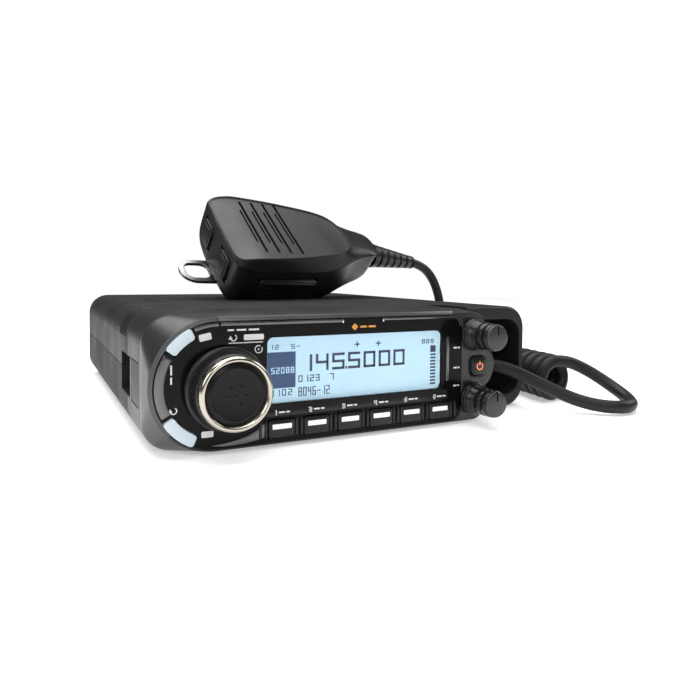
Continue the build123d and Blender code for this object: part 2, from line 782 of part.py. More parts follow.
def mic_hollow_shell():
    """The whole casing before it is split, moved into place and flattened where it lies on the radio."""
    outer = mic_plane * mic_form(0)
    inner = mic_plane * mic_form(mic_wall)
    rest = body_height + mic_rest
    above = span(-100, 200, -50, 300, rest, 200)
    above_inner = span(-100, 200, -50, 300, rest + mic_wall, 200)
    return (outer & above) - (inner & above_inner)


def mic_front_shell(casing):
    """Half of the casing that carries the grille."""
    part = casing & (mic_plane * mic_block((-5, 95), (-40, 40), (-5, mic_seam)))
    for index in range(4):
        u = grille_first + grille_pitch * index
        groove = Pos(u, 0, 0) * Box(grille_width, 2 * grille_half, 1.8)
        groove = fillet(groove.edges().filter_by(Axis.Z), grille_width / 2 - 0.05)
        part -= mic_plane * groove
    for u, v in mic_screw_points():
        part += mic_plane * post(u, v, 1.4, mic_stations[4][3] - 5.0, 2.4)
        part -= mic_plane * post(u, v, 8.0, 30, 0.9)
    return part - mic_plane * relief_root_hole()


def mic_back_shell(casing):
    """Half of the casing held in the palm, with openings for the talk key and the step keys."""
    part = casing & (mic_plane * mic_block((-5, 95), (-40, 40), (mic_seam + 0.1, 40)))
    gap = part_gap
    part -= mic_plane * talk_form(gap, 0)
    for side in (-1, 1):
        part -= mic_plane * step_form(side, gap, 0)
    boss = post(hanger_screw_u, hanger_v, 22.0, hanger_w, 6.5) - mic_form(1.0)
    part += mic_plane * boss
    part -= mic_plane * post(hanger_screw_u, hanger_v, 22.5, 40, 1.25)
    for u, v in mic_screw_points():
        top = mic_stations[4][3] - 5.0
        part += mic_plane * (post(u, v, top + 0.1, mic_stations[4][3] - 1.0, 3.0))
        part -= mic_plane * post(u, v, top - 1, 40, 1.15)
        part -= mic_plane * post(u, v, mic_stations[4][3] - 2.0, 40, 2.1)
    return part - mic_plane * relief_root_hole()


def mic_screw_points():
    return [(58.0, -11.0), (58.0, 11.0)]


def mic_screws():
    """Two screws that close the casing from the back."""
    top = mic_stations[4][3] - 2.0
    screws = []
    for u, v in mic_screw_points():
        profile = [(-11, 0), (-11, 0.85), (0, 0.85), (0, 1.9), (1.1, 1.5), (1.1, 0)]
        screws.append(mic_plane * turned(profile, (u, v, top), (0, 0, 1)))
    return all_of(screws)


def talk_form(grow, flange):
    """The talk key's bar on the side of the microphone."""
    bar = mic_block((talk_u[0] - grow, talk_u[1] + grow), (talk_inner, talk_proud + 3 * grow),
                    (talk_w[0] - grow, talk_w[1] + grow))
    bar = fillet(bar.edges().filter_by(Axis.Y), 2.4)
    if flange:
        bar += mic_block((talk_u[0] - flange, talk_u[1] + flange), (talk_inner - 1.0, talk_inner + 0.2),
                         (talk_w[0] - flange, talk_w[1] + flange))
    return bar


def talk_key():
    bar = talk_form(0, 0.8)
    bar = fillet(bar.faces().sort_by(Axis.Y)[-1].edges(), 0.8)
    return (mic_plane * bar) & span(-100, 200, -50, 300, body_height + mic_rest, 200)


def step_form(side, grow, lead):
    """One of the two step keys on the top end; side is -1 for up and +1 for down."""
    v = sorted((side * (step_v[0] - grow), side * (step_v[1] + grow)))
    key = mic_block((-step_proud - 4 * grow, step_inner), v, (step_w[0] - grow, step_w[1] + grow))
    key = fillet(key.edges().filter_by(Axis.X), 2.0)
    if lead:
        middle = side * (step_v[0] + step_v[1]) / 2
        stem = Pos(step_inner + lead / 2, middle, (step_w[0] + step_w[1]) / 2) * Rot(0, 90, 0)
        key += stem * Cylinder(1.5, lead)
    return key


def step_key(side):
    return mic_plane * step_form(side, 0, 2.5)


def mic_board():
    return mic_plane * mic_block((10, 54), (-14, 14), (15.0, 16.2))


def mic_element():
    """Round microphone capsule in its rubber ring, just behind the grille."""
    return mic_plane * (Pos(24.5, 0, 5.4) * Cylinder(5.0, 6.0))


def hanger():
    """Steel hanging plate, screwed to the back, with its loop past the top end."""
    radius = hanger_width / 2
    length = hanger_reach + hanger_screw_u + radius
    middle = (hanger_screw_u + radius - hanger_reach) / 2
    plate = Pos(middle, hanger_v) * RectangleRounded(length, hanger_width, radius - 0.2)
    eye_length = hanger_reach - hanger_bar + 1.0
    eye = Pos(-hanger_reach + hanger_bar + eye_length / 2, hanger_v)
    plate -= eye * RectangleRounded(eye_length, hanger_width - 2 * hanger_bar, 4.0)
    plate -= Pos(hanger_screw_u, hanger_v) * Circle(1.4)
    return mic_plane * (Pos(0, 0, hanger_w) * extrude(plate, hanger_sheet))


def hanger_screw():
    profile = [(-6, 0), (-6, 1.2), (0, 1.2), (0, 2.9), (1.4, 2.4), (1.4, 0)]
    return mic_plane * turned(profile, (hanger_screw_u, hanger_v, hanger_w + hanger_sheet), (0, 0, 1))


def relief_direction():
    return tuple(b - a for a, b in zip(relief_start, relief_end))


def relief_root_hole():
    length = 6.0
    return turned([(-3, 0), (-3, relief_root + 0.15), (length, relief_root + 0.15), (length, 0)],
                  relief_start, relief_direction())


def strain_relief():
    """Ribbed rubber sleeve where the cord leaves the microphone."""
    length = math.dist(relief_start, relief_end)
    neck = 3.2
    points = [(-2.6, 0), (-2.6, relief_root), (neck, relief_root), (neck, relief_root + 1.6)]
    rib = (length - neck) / relief_ribs
    for index in range(relief_ribs):
        along = neck + rib * index
        top = relief_root + 1.6 + (relief_tip - relief_root - 1.6) * (index + 0.5) / relief_ribs
        points += [(along + 0.1, top), (along + rib * 0.62, top - 0.2),
                   (along + rib * 0.68, top - 1.3), (along + rib * 0.98, top - 1.3)]
    points += [(length, relief_tip), (length, 0)]
    return mic_plane * turned(points, relief_start, relief_direction())


# ---------------------------------------------------------------- cord
def route_tube(points, diameter):
    """A round tube along straight runs joined by tangent arcs, each as large as its runs allow."""
    corners = [Vector(*p) for p in points]
    radii = []
    for before, corner, after in zip(corners, corners[1:], corners[2:]):
        turn = math.radians((corner - before).get_angle(after - corner))
        run = min((corner - before).length, (after - corner).length)
        radii.append(0.45 * run / math.tan(turn / 2))
    path = FilletPolyline(*corners, radius=radii)
    print("radii", [round(r, 1) for r in radii], "length", round(path.length, 1))
    start = Plane(origin=path @ 0, z_dir=path % 0)
    tube = sweep(start * Circle(diameter / 2), path=path)
    section = math.pi * diameter ** 2 / 4
    print("volume over section times length", round(tube.volume / (section * path.length), 4))
    return tube


mic_lead_route = [
    (91.8, 124.2, 58.7),
    (98.6, 124.5, 57.2),
    (105.8, 124.7, 51.2),
    (110.3, 124.6, 42.2),
    (112.0, 123.4, 31.4),
    (111.0, 118.8, 20.8),
    (107.4, 111.2, 13.2),
    (102.2, 104.2, 10.4),
    (99.2, 97.4, 9.9),
]
coil_route = [
    (96.6, coil_front, coil_diameter / 2),
    (98.6, 45.0, coil_diameter / 2),
    (99.6, 72.0, coil_diameter / 2),
    (99.0, coil_back, coil_diameter / 2),
]
plug_lead_route = [
    (97.0, 19.2, 16.8),
    (102.4, 15.6, 14.8),
    (107.4, 9.6, 10.2),
    (109.8, 1.2, 5.6),
    (108.4, -7.4, 3.3),
    (102.8, -13.9, 2.9),
    (95.4, -15.4, 2.9),
    (88.8, -11.4, 3.1),
    (83.0, -4.8, 4.8),
    (77.4, 1.8, 8.2),
    (71.4, 7.9, 12.0),
    (65.0, 12.2, 15.4),
    (59.2, 15.6, 17.0),
    (plug_x, plug_front - boot_length + 0.3, plug_z),
]


def mic_plug():
    """Modular plug in the jack, with the moulded boot that the cord comes out of."""
    plug = prism(plug_section(0), plug_front, plug_front + plug_length)
    boot = [(0, 0), (0, boot_radius - 1.2), (boot_length, boot_radius), (boot_length, 0)]
    return plug + turned(boot, (plug_x, plug_front - boot_length, plug_z), (0, 1, 0))


# ---------------------------------------------------------------- every node
casing = mic_hollow_shell()
nodes = {
    "chassis": chassis(),
    "top_cover": top_cover(),
    "front_frame": front_frame(),
    "case_screws": all_of([case_screw(x, y, body_height, 0) for x, y in case_screw_points()]),
    "main_board": main_board(),
    "board_screws": board_screws(),
    "shield_can": shield_can(),
    "power_module": power_module(),
    "speaker": speaker(),
    "fan_frame": fan_frame(),
    "fan_rotor": fan_rotor(),
    "antenna_socket": antenna_socket(),
    "supply_socket": supply_socket(),
    "speaker_jacks": speaker_jacks(),
    "mic_jack": mic_jack(),
    "head_bezel": bezel(),
    "display_panel": display_panel(),
    "display_window": display_window(),
    "display_module": behind_window(display_border, panel_thickness + 0.6, display_back),
    "display_light": behind_window(display_border, display_back + 0.1, display_back + light_thickness),
    "head_shell": head_shell(),
    "head_board": head_board(),
    "head_screws": head_screws(),
    "key_mat": key_mat(),
    "dial_encoder": encoder(dial_at, -0.6, 5.5),
    "dial_shaft": shaft(dial_at, -7.3),
    "dial_skirt": dial_skirt(),
    "dial_ring": dial_ring(),
    "dial_cap": dial_cap(),
    "volume_encoder": encoder(upper_knob_at, -0.6, 3.9),
    "volume_shaft": shaft(upper_knob_at, knob_front + 3.7),
    "volume_knob": knob(upper_knob_at),
    "squelch_encoder": encoder(lower_knob_at, -0.6, 3.9),
    "squelch_shaft": shaft(lower_knob_at, knob_front + 3.7),
    "squelch_knob": knob(lower_knob_at),
    "menu_key": lit_key("menu"),
    "back_key": lit_key("back"),
    "power_key": plunger(power_section, 1.2, 0.6),
    "latch_button": latch_button(),
    "mic_front_shell": mic_front_shell(casing),
    "mic_back_shell": mic_back_shell(casing),
    "mic_screws": mic_screws(),
    "mic_board": mic_board(),
    "mic_element": mic_element(),
    "talk_key": talk_key(),
    "up_key": step_key(-1),
    "down_key": step_key(1),
    "hanger": hanger(),
    "hanger_screw": hanger_screw(),
    "strain_relief": strain_relief(),
    "mic_plug": mic_plug(),
    "cord_mic_lead": route_tube(mic_lead_route, cord_diameter),
    "cord_coil": route_tube(coil_route, coil_diameter),
    "cord_plug_lead": route_tube(plug_lead_route, cord_diameter),
}
for number, x in enumerate(key_centres, start=1):
    nodes[f"key_{number}"] = plunger(lambda grow: key_section(x, grow), key_proud, key_flange)

for name, shape in nodes.items():
    export_step(Pos(0, -body_depth / 2, 0) * shape, f"parts/{name}.step")
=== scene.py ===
import math

import bmesh
import bpy
from mathutils import Matrix, Vector


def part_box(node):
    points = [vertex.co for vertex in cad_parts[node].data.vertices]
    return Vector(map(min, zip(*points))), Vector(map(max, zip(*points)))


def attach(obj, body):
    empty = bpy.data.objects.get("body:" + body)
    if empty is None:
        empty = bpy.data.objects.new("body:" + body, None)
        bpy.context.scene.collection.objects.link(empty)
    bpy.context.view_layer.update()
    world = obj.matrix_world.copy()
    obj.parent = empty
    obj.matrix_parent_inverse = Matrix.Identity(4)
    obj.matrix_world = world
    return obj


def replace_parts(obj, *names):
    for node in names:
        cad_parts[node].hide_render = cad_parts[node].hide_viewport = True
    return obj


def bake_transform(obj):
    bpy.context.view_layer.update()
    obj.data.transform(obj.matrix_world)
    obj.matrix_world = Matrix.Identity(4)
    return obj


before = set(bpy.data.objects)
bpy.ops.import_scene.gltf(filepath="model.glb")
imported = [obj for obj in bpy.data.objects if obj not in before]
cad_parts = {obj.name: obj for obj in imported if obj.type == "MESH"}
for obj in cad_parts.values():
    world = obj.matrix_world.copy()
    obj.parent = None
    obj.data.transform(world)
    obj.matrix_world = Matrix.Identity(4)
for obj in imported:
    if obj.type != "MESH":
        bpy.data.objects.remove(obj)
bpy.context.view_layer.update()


# ---------------------------------------------------------------- camera, floor and light
# The radio stands on a plain pale floor, seen from its front left at about the height of its top.
# Four soft boxes light it: a wide one overhead, and weaker ones at the left, the front and the right.
def studio():
    """The camera, the lamps and a world that looks white but lights the radio only a little."""
    lens = bpy.data.cameras.new("camera")
    lens.sensor_width = 36
    lens.lens = 32.64
    lens.shift_x = -0.0044
    lens.shift_y = -0.078
    lens.clip_start = 0.01
    camera = bpy.data.objects.new("camera", lens)
    yaw, pitch, roll = (math.radians(a) for a in (27.26, -1.67, 0.51))
    camera.matrix_world = (Matrix.Translation((-0.1043, -0.2624, 0.0530))
                           @ Matrix.Rotation(-yaw, 4, "Z")
                           @ Matrix.Rotation(math.pi / 2 + pitch, 4, "X")
                           @ Matrix.Rotation(roll, 4, "Z"))
    bpy.context.scene.collection.objects.link(camera)
    bpy.context.scene.camera = camera
    for name, place, size, power in (
            ("overhead_light", (-0.05, 0.15, 1.0), 1.1, 18),
            ("left_light", (-0.9, -0.35, 0.5), 0.5, 3),
            ("front_light", (-0.35, -1.0, 0.75), 0.5, 4),
            ("right_light", (0.9, -0.1, 0.6), 0.4, 3)):
        lamp = bpy.data.lights.new(name, "AREA")
        lamp.size = size
        lamp.energy = power
        light = bpy.data.objects.new(name, lamp)
        aim = Vector((0, 0, 0.03)) - Vector(place)
        light.matrix_world = Matrix.Translation(place) @ aim.to_track_quat("-Z", "Y").to_matrix().to_4x4()
        bpy.context.scene.collection.objects.link(light)
    world = bpy.data.worlds.new("studio")
    world.use_nodes = True
    nodes, links = world.node_tree.nodes, world.node_tree.links
    nodes["Background"].inputs["Color"].default_value = (1, 1, 1, 1)
    backdrop = nodes.new("ShaderNodeLightPath")
    glow = nodes.new("ShaderNodeMapRange")
    glow.inputs["To Min"].default_value = 0.1
    glow.inputs["To Max"].default_value = 1.0
    links.new(backdrop.outputs["Is Camera Ray"], glow.inputs["Value"])
    links.new(glow.outputs["Result"], nodes["Background"].inputs["Strength"])
    bpy.context.scene.world = world
    bpy.context.scene.view_settings.view_transform = "Standard"


def floor():
    """White paper, a hair under the radio's feet, faintly lit of itself so that it runs into the backdrop."""
    half_side = 0.8
    bm = bmesh.new()
    bmesh.ops.create_grid(bm, x_segments=1, y_segments=1, size=half_side)
    bmesh.ops.translate(bm, verts=bm.verts, vec=(0, 0, -0.0002))
    mesh = bpy.data.meshes.new("floor")
    bm.to_mesh(mesh)
    bm.free()
    paper = bpy.data.materials.new("paper_white")
    paper.use_nodes = True
    shader = paper.node_tree.nodes["Principled BSDF"]
    shader.inputs["Base Color"].default_value = (0.9, 0.9, 0.9, 1)
    shader.inputs["Roughness"].default_value = 0.6
    shader.inputs["Emission Color"].default_value = (1, 1, 1, 1)
    shader.inputs["Emission Strength"].default_value = 0.4
    mesh.materials.append(paper)
    ground = bpy.data.objects.new("floor", mesh)
    bpy.context.scene.collection.objects.link(ground)


studio()
floor()


# ---------------------------------------------------------------- curly cord
# Matte black rubber cord, 5 mm thick. It leaves the microphone, drops beside the radio's right side into
# its curly part, which lies along the radio, and runs from the coil's front round into the jack.
to_row = Matrix.Translation((0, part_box("display_panel")[0].y, 0)) @ Matrix.Scale(0.001, 4)
cord_diameter = 5.0
coil_radius = 7.35           # of the control points; the turns come out a little smaller
coil_turns = 14.5
points_per_turn = 16
coil_height = 9.7
mic_lead_route = [
    (91.8, 124.2, 58.7),
    (98.6, 124.5, 57.2),
    (105.8, 124.7, 51.2),
    (110.3, 124.6, 42.2),
    (112.0, 123.4, 31.4),
    (111.2, 118.6, 20.4),
    (109.4, 111.8, 11.0),
    (106.4, 105.0, 5.2),
    (102.8, 99.8, 2.8),
]
coil_back = (99.0, 98.0)
coil_middle = (100.4, 58.0)
coil_front = (91.5, 13.5)
plug_lead_route = [
    (98.6, 12.9, 16.2),
    (105.2, 8.8, 12.6),
    (109.6, 1.4, 7.4),
    (109.0, -7.4, 3.8),
    (103.4, -14.3, 2.9),
    (95.6, -16.0, 2.9),
    (88.8, -11.4, 3.1),
    (83.0, -4.8, 4.8),
    (77.4, 1.8, 8.2),
    (71.4, 7.9, 12.0),
    (65.0, 12.2, 15.4),
    (59.2, 15.6, 17.0),
    (57.0, 21.3, 17.4),
]


def coil_points():
    """The helix's control points, from the back to the front; it starts at its lowest point."""
    count = round(coil_turns * points_per_turn)
    points = []
    for index in range(count + 1):
        t = index / count
        x = (1 - t) ** 2 * coil_back[0] + 2 * t * (1 - t) * coil_middle[0] + t ** 2 * coil_front[0]
        y = coil_back[1] + (coil_front[1] - coil_back[1]) * t
        angle = 2 * math.pi * (index - count) / points_per_turn
        points.append((x + coil_radius * math.sin(angle), y, coil_height + coil_radius * math.cos(angle)))
    return points


def grain_group():
    """Texture of moulded and sprayed surfaces: mottled and speckled colour, uneven gloss and a fine height."""
    group = bpy.data.node_groups.new("moulded_grain", "ShaderNodeTree")
    for name, kind, value in (("Dark", "NodeSocketColor", (0.01, 0.01, 0.01, 1)),
                              ("Light", "NodeSocketColor", (0.03, 0.03, 0.03, 1)),
                              ("Grain Scale", "NodeSocketFloat", 3000),
                              ("Smooth", "NodeSocketFloat", 0.3),
                              ("Rough", "NodeSocketFloat", 0.5)):
        socket = group.interface.new_socket(name, in_out="INPUT", socket_type=kind)
        socket.default_value = value
    for name, kind in (("Color", "NodeSocketColor"), ("Roughness", "NodeSocketFloat"),
                       ("Height", "NodeSocketFloat")):
        group.interface.new_socket(name, in_out="OUTPUT", socket_type=kind)
    nodes, links = group.nodes, group.links
    given = nodes.new("NodeGroupInput")
    result = nodes.new("NodeGroupOutput")
    place = nodes.new("ShaderNodeTexCoord")
    fine = nodes.new("ShaderNodeTexNoise")
    fine.inputs["Detail"].default_value = 1.0
    broad = nodes.new("ShaderNodeTexNoise")
    broad.inputs["Scale"].default_value = 45
    broad.inputs["Detail"].default_value = 4.0
    links.new(place.outputs["Object"], fine.inputs["Vector"])
    links.new(place.outputs["Object"], broad.inputs["Vector"])
    links.new(given.outputs["Grain Scale"], fine.inputs["Scale"])
    spread = nodes.new("ShaderNodeMapRange")
    spread.inputs["From Min"].default_value = 0.35
    spread.inputs["From Max"].default_value = 0.65
    links.new(broad.outputs["Fac"], spread.inputs["Value"])
    speckle = nodes.new("ShaderNodeMath")
    speckle.operation = "MULTIPLY_ADD"
    speckle.inputs[1].default_value = 0.55
    links.new(fine.outputs["Fac"], speckle.inputs[0])
    half = nodes.new("ShaderNodeMath")
    half.operation = "MULTIPLY"
    half.inputs[1].default_value = 0.45
    links.new(spread.outputs["Result"], half.inputs[0])
    links.new(half.outputs["Value"], speckle.inputs[2])
    tint = nodes.new("ShaderNodeMix")
    tint.data_type = "RGBA"
    links.new(speckle.outputs["Value"], tint.inputs["Factor"])
    links.new(given.outputs["Dark"], tint.inputs["A"])
    links.new(given.outputs["Light"], tint.inputs["B"])
    gloss = nodes.new("ShaderNodeMapRange")
    links.new(spread.outputs["Result"], gloss.inputs["Value"])
    links.new(given.outputs["Smooth"], gloss.inputs["To Min"])
    links.new(given.outputs["Rough"], gloss.inputs["To Max"])
    links.new(tint.outputs["Result"], result.inputs["Color"])
    links.new(gloss.outputs["Result"], result.inputs["Roughness"])
    links.new(fine.outputs["Fac"], result.inputs["Height"])
    return group


moulded_grain = grain_group()


def finish(name, dark, light, smooth, rough, grain_scale=3000, grain_depth=0.00002, edge=0.0, **settings):
    """A material: the grain group with its own values, and the shader's constants given by name."""
    material = bpy.data.materials.new(name)
    material.use_nodes = True
    nodes, links = material.node_tree.nodes, material.node_tree.links
    shader = nodes["Principled BSDF"]
    grain = nodes.new("ShaderNodeGroup")
    grain.node_tree = moulded_grain
    grain.inputs["Dark"].default_value = (*dark, 1)
    grain.inputs["Light"].default_value = (*light, 1)
    grain.inputs["Grain Scale"].default_value = grain_scale
    grain.inputs["Smooth"].default_value = smooth
    grain.inputs["Rough"].default_value = rough
    links.new(grain.outputs["Color"], shader.inputs["Base Color"])
    links.new(grain.outputs["Roughness"], shader.inputs["Roughness"])
    bump = nodes.new("ShaderNodeBump")
    bump.inputs["Distance"].default_value = grain_depth
    links.new(grain.outputs["Height"], bump.inputs["Height"])
    links.new(bump.outputs["Normal"], shader.inputs["Normal"])
    if edge:
        rounding = nodes.new("ShaderNodeBevel")
        rounding.samples = 6
        rounding.inputs["Radius"].default_value = edge
        links.new(rounding.outputs["Normal"], bump.inputs["Normal"])
    for socket, value in settings.items():
        shader.inputs[socket.replace("_", " ").title().replace("Ior", "IOR")].default_value = value
    return material


def line_of(points, bevel):
    """A smooth line on these control points, in millimetres from the panel's face."""
    curve = bpy.data.curves.new("cord_line", "CURVE")
    curve.dimensions = "3D"
    spline = curve.splines.new("NURBS")
    spline.points.add(len(points) - 1)
    for control, point in zip(spline.points, points):
        control.co = (*(to_row @ Vector(point)), 1)
    spline.order_u = 3
    spline.use_endpoint_u = True
    spline.resolution_u = 5
    curve.bevel_depth = bevel
    curve.bevel_resolution = 4
    curve.use_fill_caps = True
    line = bpy.data.objects.new("cord_line", curve)
    bpy.context.scene.collection.objects.link(line)
    mesh = bpy.data.meshes.new_from_object(line)
    bpy.data.objects.remove(line)
    return mesh


def cord():
    """The tube follows the same line; it rides on the microphone above and on the radio below."""
    controls = mic_lead_route + coil_points() + plug_lead_route
    centre = [vertex.co.copy() for vertex in line_of(controls, 0).vertices]
    mesh = line_of(controls, cord_diameter / 2000)
    mesh.name = "cord"
    mesh.materials.clear()
    mesh.materials.append(finish("cord_rubber", (0.006, 0.006, 0.0065), (0.015, 0.015, 0.016), 0.4, 0.55,
                                 grain_scale=1800, grain_depth=0.00004, specular_ior_level=0.25))
    mesh.shade_smooth()
    tube = bpy.data.objects.new("cord", mesh)
    bpy.context.scene.collection.objects.link(tube)
    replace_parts(tube, "cord_mic_lead", "cord_coil", "cord_plug_lead")
    length = sum((b - a).length for a, b in zip(centre, centre[1:]))
    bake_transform(tube)
    print("cord length", round(length, 4))


cord()


# ---------------------------------------------------------------- main unit
# Die-cast tray with fins, a folded steel cover and a moulded front frame, all in black with a fine grain.
# Their designed shapes stay as they are and only get a finish; the sockets behind are plated and moulded.
def dress(material, *names):
    """Gives designed parts that keep their shape a better finish."""
    for name in names:
        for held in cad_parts[name].material_slots:
            held.material = material


dress(finish("casting_paint", (0.008, 0.008, 0.0085), (0.019, 0.019, 0.02), 0.55, 0.7,
             grain_scale=1500, grain_depth=0.00008, edge=0.0004, specular_ior_level=0.2), "chassis")
dress(finish("cover_paint", (0.008, 0.0085, 0.01), (0.018, 0.019, 0.022), 0.48, 0.62,
             grain_scale=2600, grain_depth=0.00005, edge=0.0003, specular_ior_level=0.2), "top_cover")
frame_satin = finish("frame_satin", (0.009, 0.009, 0.0095), (0.017, 0.017, 0.018), 0.36, 0.46,
                     grain_scale=4000, grain_depth=0.00002, edge=0.0008, specular_ior_level=0.25)
dress(frame_satin, "front_frame", "head_shell")
dress(finish("screw_black", (0.02, 0.02, 0.02), (0.05, 0.05, 0.05), 0.25, 0.4, edge=0.0002, metallic=0.8),
      "case_screws", "mic_screws", "head_screws", "board_screws")
dress(finish("socket_black", (0.01, 0.01, 0.01), (0.022, 0.022, 0.022), 0.35, 0.5, edge=0.0002),
      "supply_socket", "speaker_jacks", "mic_jack", "speaker", "fan_frame", "fan_rotor", "power_module",
      "mic_element", "dial_encoder", "volume_encoder", "squelch_encoder")
dress(finish("plated_brass", (0.5, 0.46, 0.38), (0.62, 0.58, 0.5), 0.18, 0.34, edge=0.0003, metallic=1.0),
      "antenna_socket")
dress(finish("board_green", (0.006, 0.05, 0.02), (0.012, 0.09, 0.04), 0.3, 0.5, grain_scale=700),
      "main_board", "head_board", "mic_board")
dress(finish("bright_steel", (0.62, 0.62, 0.63), (0.78, 0.78, 0.79), 0.14, 0.3,
             grain_scale=900, grain_depth=0.00001, edge=0.0005, metallic=1.0),
      "shield_can", "dial_shaft", "volume_shaft", "squelch_shaft")
dress(finish("hanger_steel", (0.22, 0.22, 0.22), (0.32, 0.32, 0.32), 0.28, 0.4, grain_scale=900,
             grain_depth=0.00002, edge=0.0005, metallic=1.0), "hanger", "hanger_screw")
dress(finish("dome_rubber", (0.12, 0.12, 0.12), (0.2, 0.2, 0.2), 0.5, 0.65), "key_mat")
dress(finish("light_guide", (0.7, 0.74, 0.78), (0.8, 0.84, 0.88), 0.3, 0.4), "display_light")


# ---------------------------------------------------------------- cover ribs
# Five raised ribs pressed round the cover's upper left corner, just behind the control head.
# They are small half-round beads that follow the corner's bend from the side on to the top.
rib_rows = (41.5, 44.5, 47.5, 50.5, 53.5)
rib_radius = 0.35
rib_sunk = 0.1               # how far a rib's middle lies under the cover's face
cover_left = -75.0
cover_top = 40.0
corner_bend = 9.0


def soften(bm, faces, width, segments=2, angle=30):
    """Rounds the edges of these faces where they turn by more than angle."""
    edges = {edge for face in faces for edge in face.edges
             if len(edge.link_faces) == 2 and edge.calc_face_angle() > math.radians(angle)}
    bmesh.ops.bevel(bm, geom=list(edges), offset=width, offset_type="OFFSET", segments=segments,
                    profile=0.5, affect="EDGES", clamp_overlap=True, material=-1)


def piece(name, bm, body, slot, *materials, sharp=35):
    """Hands over a mesh that was modelled in millimetres from the panel's face."""
    bm.normal_update()           # a turned mesh keeps its old normals until then
    bmesh.ops.recalc_face_normals(bm, faces=bm.faces)
    bm.transform(to_row)
    mesh = bpy.data.meshes.new(name)
    bm.to_mesh(mesh)
    bm.free()
    for material in materials:
        mesh.materials.append(material)
    mesh.shade_smooth()
    mesh.set_sharp_from_angle(angle=math.radians(sharp))
    obj = bpy.data.objects.new(name, mesh)
    bpy.context.scene.collection.objects.link(obj)
    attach(obj, body)
    return obj


def cover_ribs():
    bm = bmesh.new()
    for y in rib_rows:
        ring = bmesh.ops.create_circle(bm, segments=8, radius=rib_radius, cap_ends=False)["verts"]
        bmesh.ops.translate(bm, verts=ring, vec=(cover_left + rib_sunk, y, cover_top - corner_bend))
        edges = list({edge for vert in ring for edge in vert.link_edges})
        bmesh.ops.spin(bm, geom=ring + edges, cent=(cover_left + corner_bend, 0, cover_top - corner_bend),
                       axis=(0, 1, 0), angle=math.pi / 2, steps=20, use_merge=False)
    bmesh.ops.holes_fill(bm, edges=[edge for edge in bm.edges if edge.is_boundary])
    piece("cover_ribs", bm, "radio", "cover", frame_satin)


cover_ribs()


# ---------------------------------------------------------------- control head
# Satin dark grey bezel round a glossy black panel. Thin strips of brushed metal edge the panel, made lighter
# than the bezel as a painted highlight of its bevelled edge, and a ledge below the window catches the light
# above the keys, its gloss painted lighter than the panel's.
bezel_satin = finish("bezel_satin", (0.013, 0.013, 0.0135), (0.022, 0.022, 0.023), 0.28, 0.38,
                     grain_scale=5000, grain_depth=0.00001, edge=0.0015)
dress(bezel_satin, "head_bezel")
panel_gloss = finish("panel_gloss", (0.003, 0.003, 0.0033), (0.005, 0.005, 0.0055), 0.1, 0.16,
                     grain_depth=0.000002, edge=0.0002, specular_ior_level=0.1)
dress(panel_gloss, "display_panel")
# Painted highlight: this grey metal is much lighter than the bezel and stands for the panel's bevelled edge
# catching the overhead light.
trim_metal_painted_highlight = finish("trim_metal_painted_highlight", (0.1, 0.1, 0.105), (0.17, 0.17, 0.175), 0.24, 0.36,
                    grain_scale=1200, grain_depth=0.000004, metallic=0.9)
trim_bright = finish("trim_bright", (0.55, 0.55, 0.56), (0.7, 0.7, 0.71), 0.16, 0.26, metallic=1.0)
panel_end = (-55.01, 20.0)   # the middle of the panel's round end
panel_edge = 18.39           # its radius, and half the panel's height
first_key = -35.7
key_pitch = 11.6
trim_gap = 0.15


def slab(bm, x, y, z, corner=0.0, edge=0.0, material=0):
    """A block between (low, high) pairs; corner rounds its front-to-back edges and edge the others."""
    before = set(bm.faces)
    verts = bmesh.ops.create_cube(bm, size=1)["verts"]
    spans = (x, y, z)
    bmesh.ops.scale(bm, vec=[high - low for low, high in spans], verts=verts)
    bmesh.ops.translate(bm, vec=[(high + low) / 2 for low, high in spans], verts=verts)
    if corner:
        upright = {e for v in verts for e in v.link_edges
                   if abs(e.verts[0].co.y - e.verts[1].co.y) > (y[1] - y[0]) / 2}
        bmesh.ops.bevel(bm, geom=list(upright), offset=corner, offset_type="OFFSET", segments=5,
                        profile=0.5, affect="EDGES", material=-1)
    if edge:
        soften(bm, [face for face in bm.faces if face not in before], edge)
    made = [face for face in bm.faces if face not in before]
    for face in made:
        face.material_index = material
    return made


def arc_bar(bm, centre, inner, outer, start, end, y, edge=0.0, corner=0.0, material=0):
    """A bar bent round centre between two angles in degrees, from depth y[0] to y[1]."""
    before = set(bm.faces)
    first = math.radians(start)
    verts = [bm.verts.new((centre[0] + radius * math.cos(first), depth, centre[1] + radius * math.sin(first)))
             for radius, depth in ((inner, y[0]), (outer, y[0]), (outer, y[1]), (inner, y[1]))]
    face = bm.faces.new(verts)
    steps = max(3, round(abs(end - start) / 3))
    bmesh.ops.spin(bm, geom=[face], cent=(centre[0], 0, centre[1]), axis=(0, -1, 0),
                   angle=math.radians(end - start), steps=steps, use_merge=False)
    made = [f for f in bm.faces if f not in before]
    bmesh.ops.recalc_face_normals(bm, faces=made)
    if corner:
        ends = {e for f in made for e in f.edges if abs(e.verts[0].co.y - e.verts[1].co.y) > 0.05
                and len(e.link_faces) == 2 and e.calc_face_angle() > math.radians(60)}
        bmesh.ops.bevel(bm, geom=list(ends), offset=corner, offset_type="OFFSET", segments=5,
                        profile=0.5, affect="EDGES", clamp_overlap=True, material=-1)
    if edge:
        soften(bm, [f for f in bm.faces if f not in before], edge)
    made = [f for f in bm.faces if f not in before]
    for f in made:
        f.material_index = material
    return made


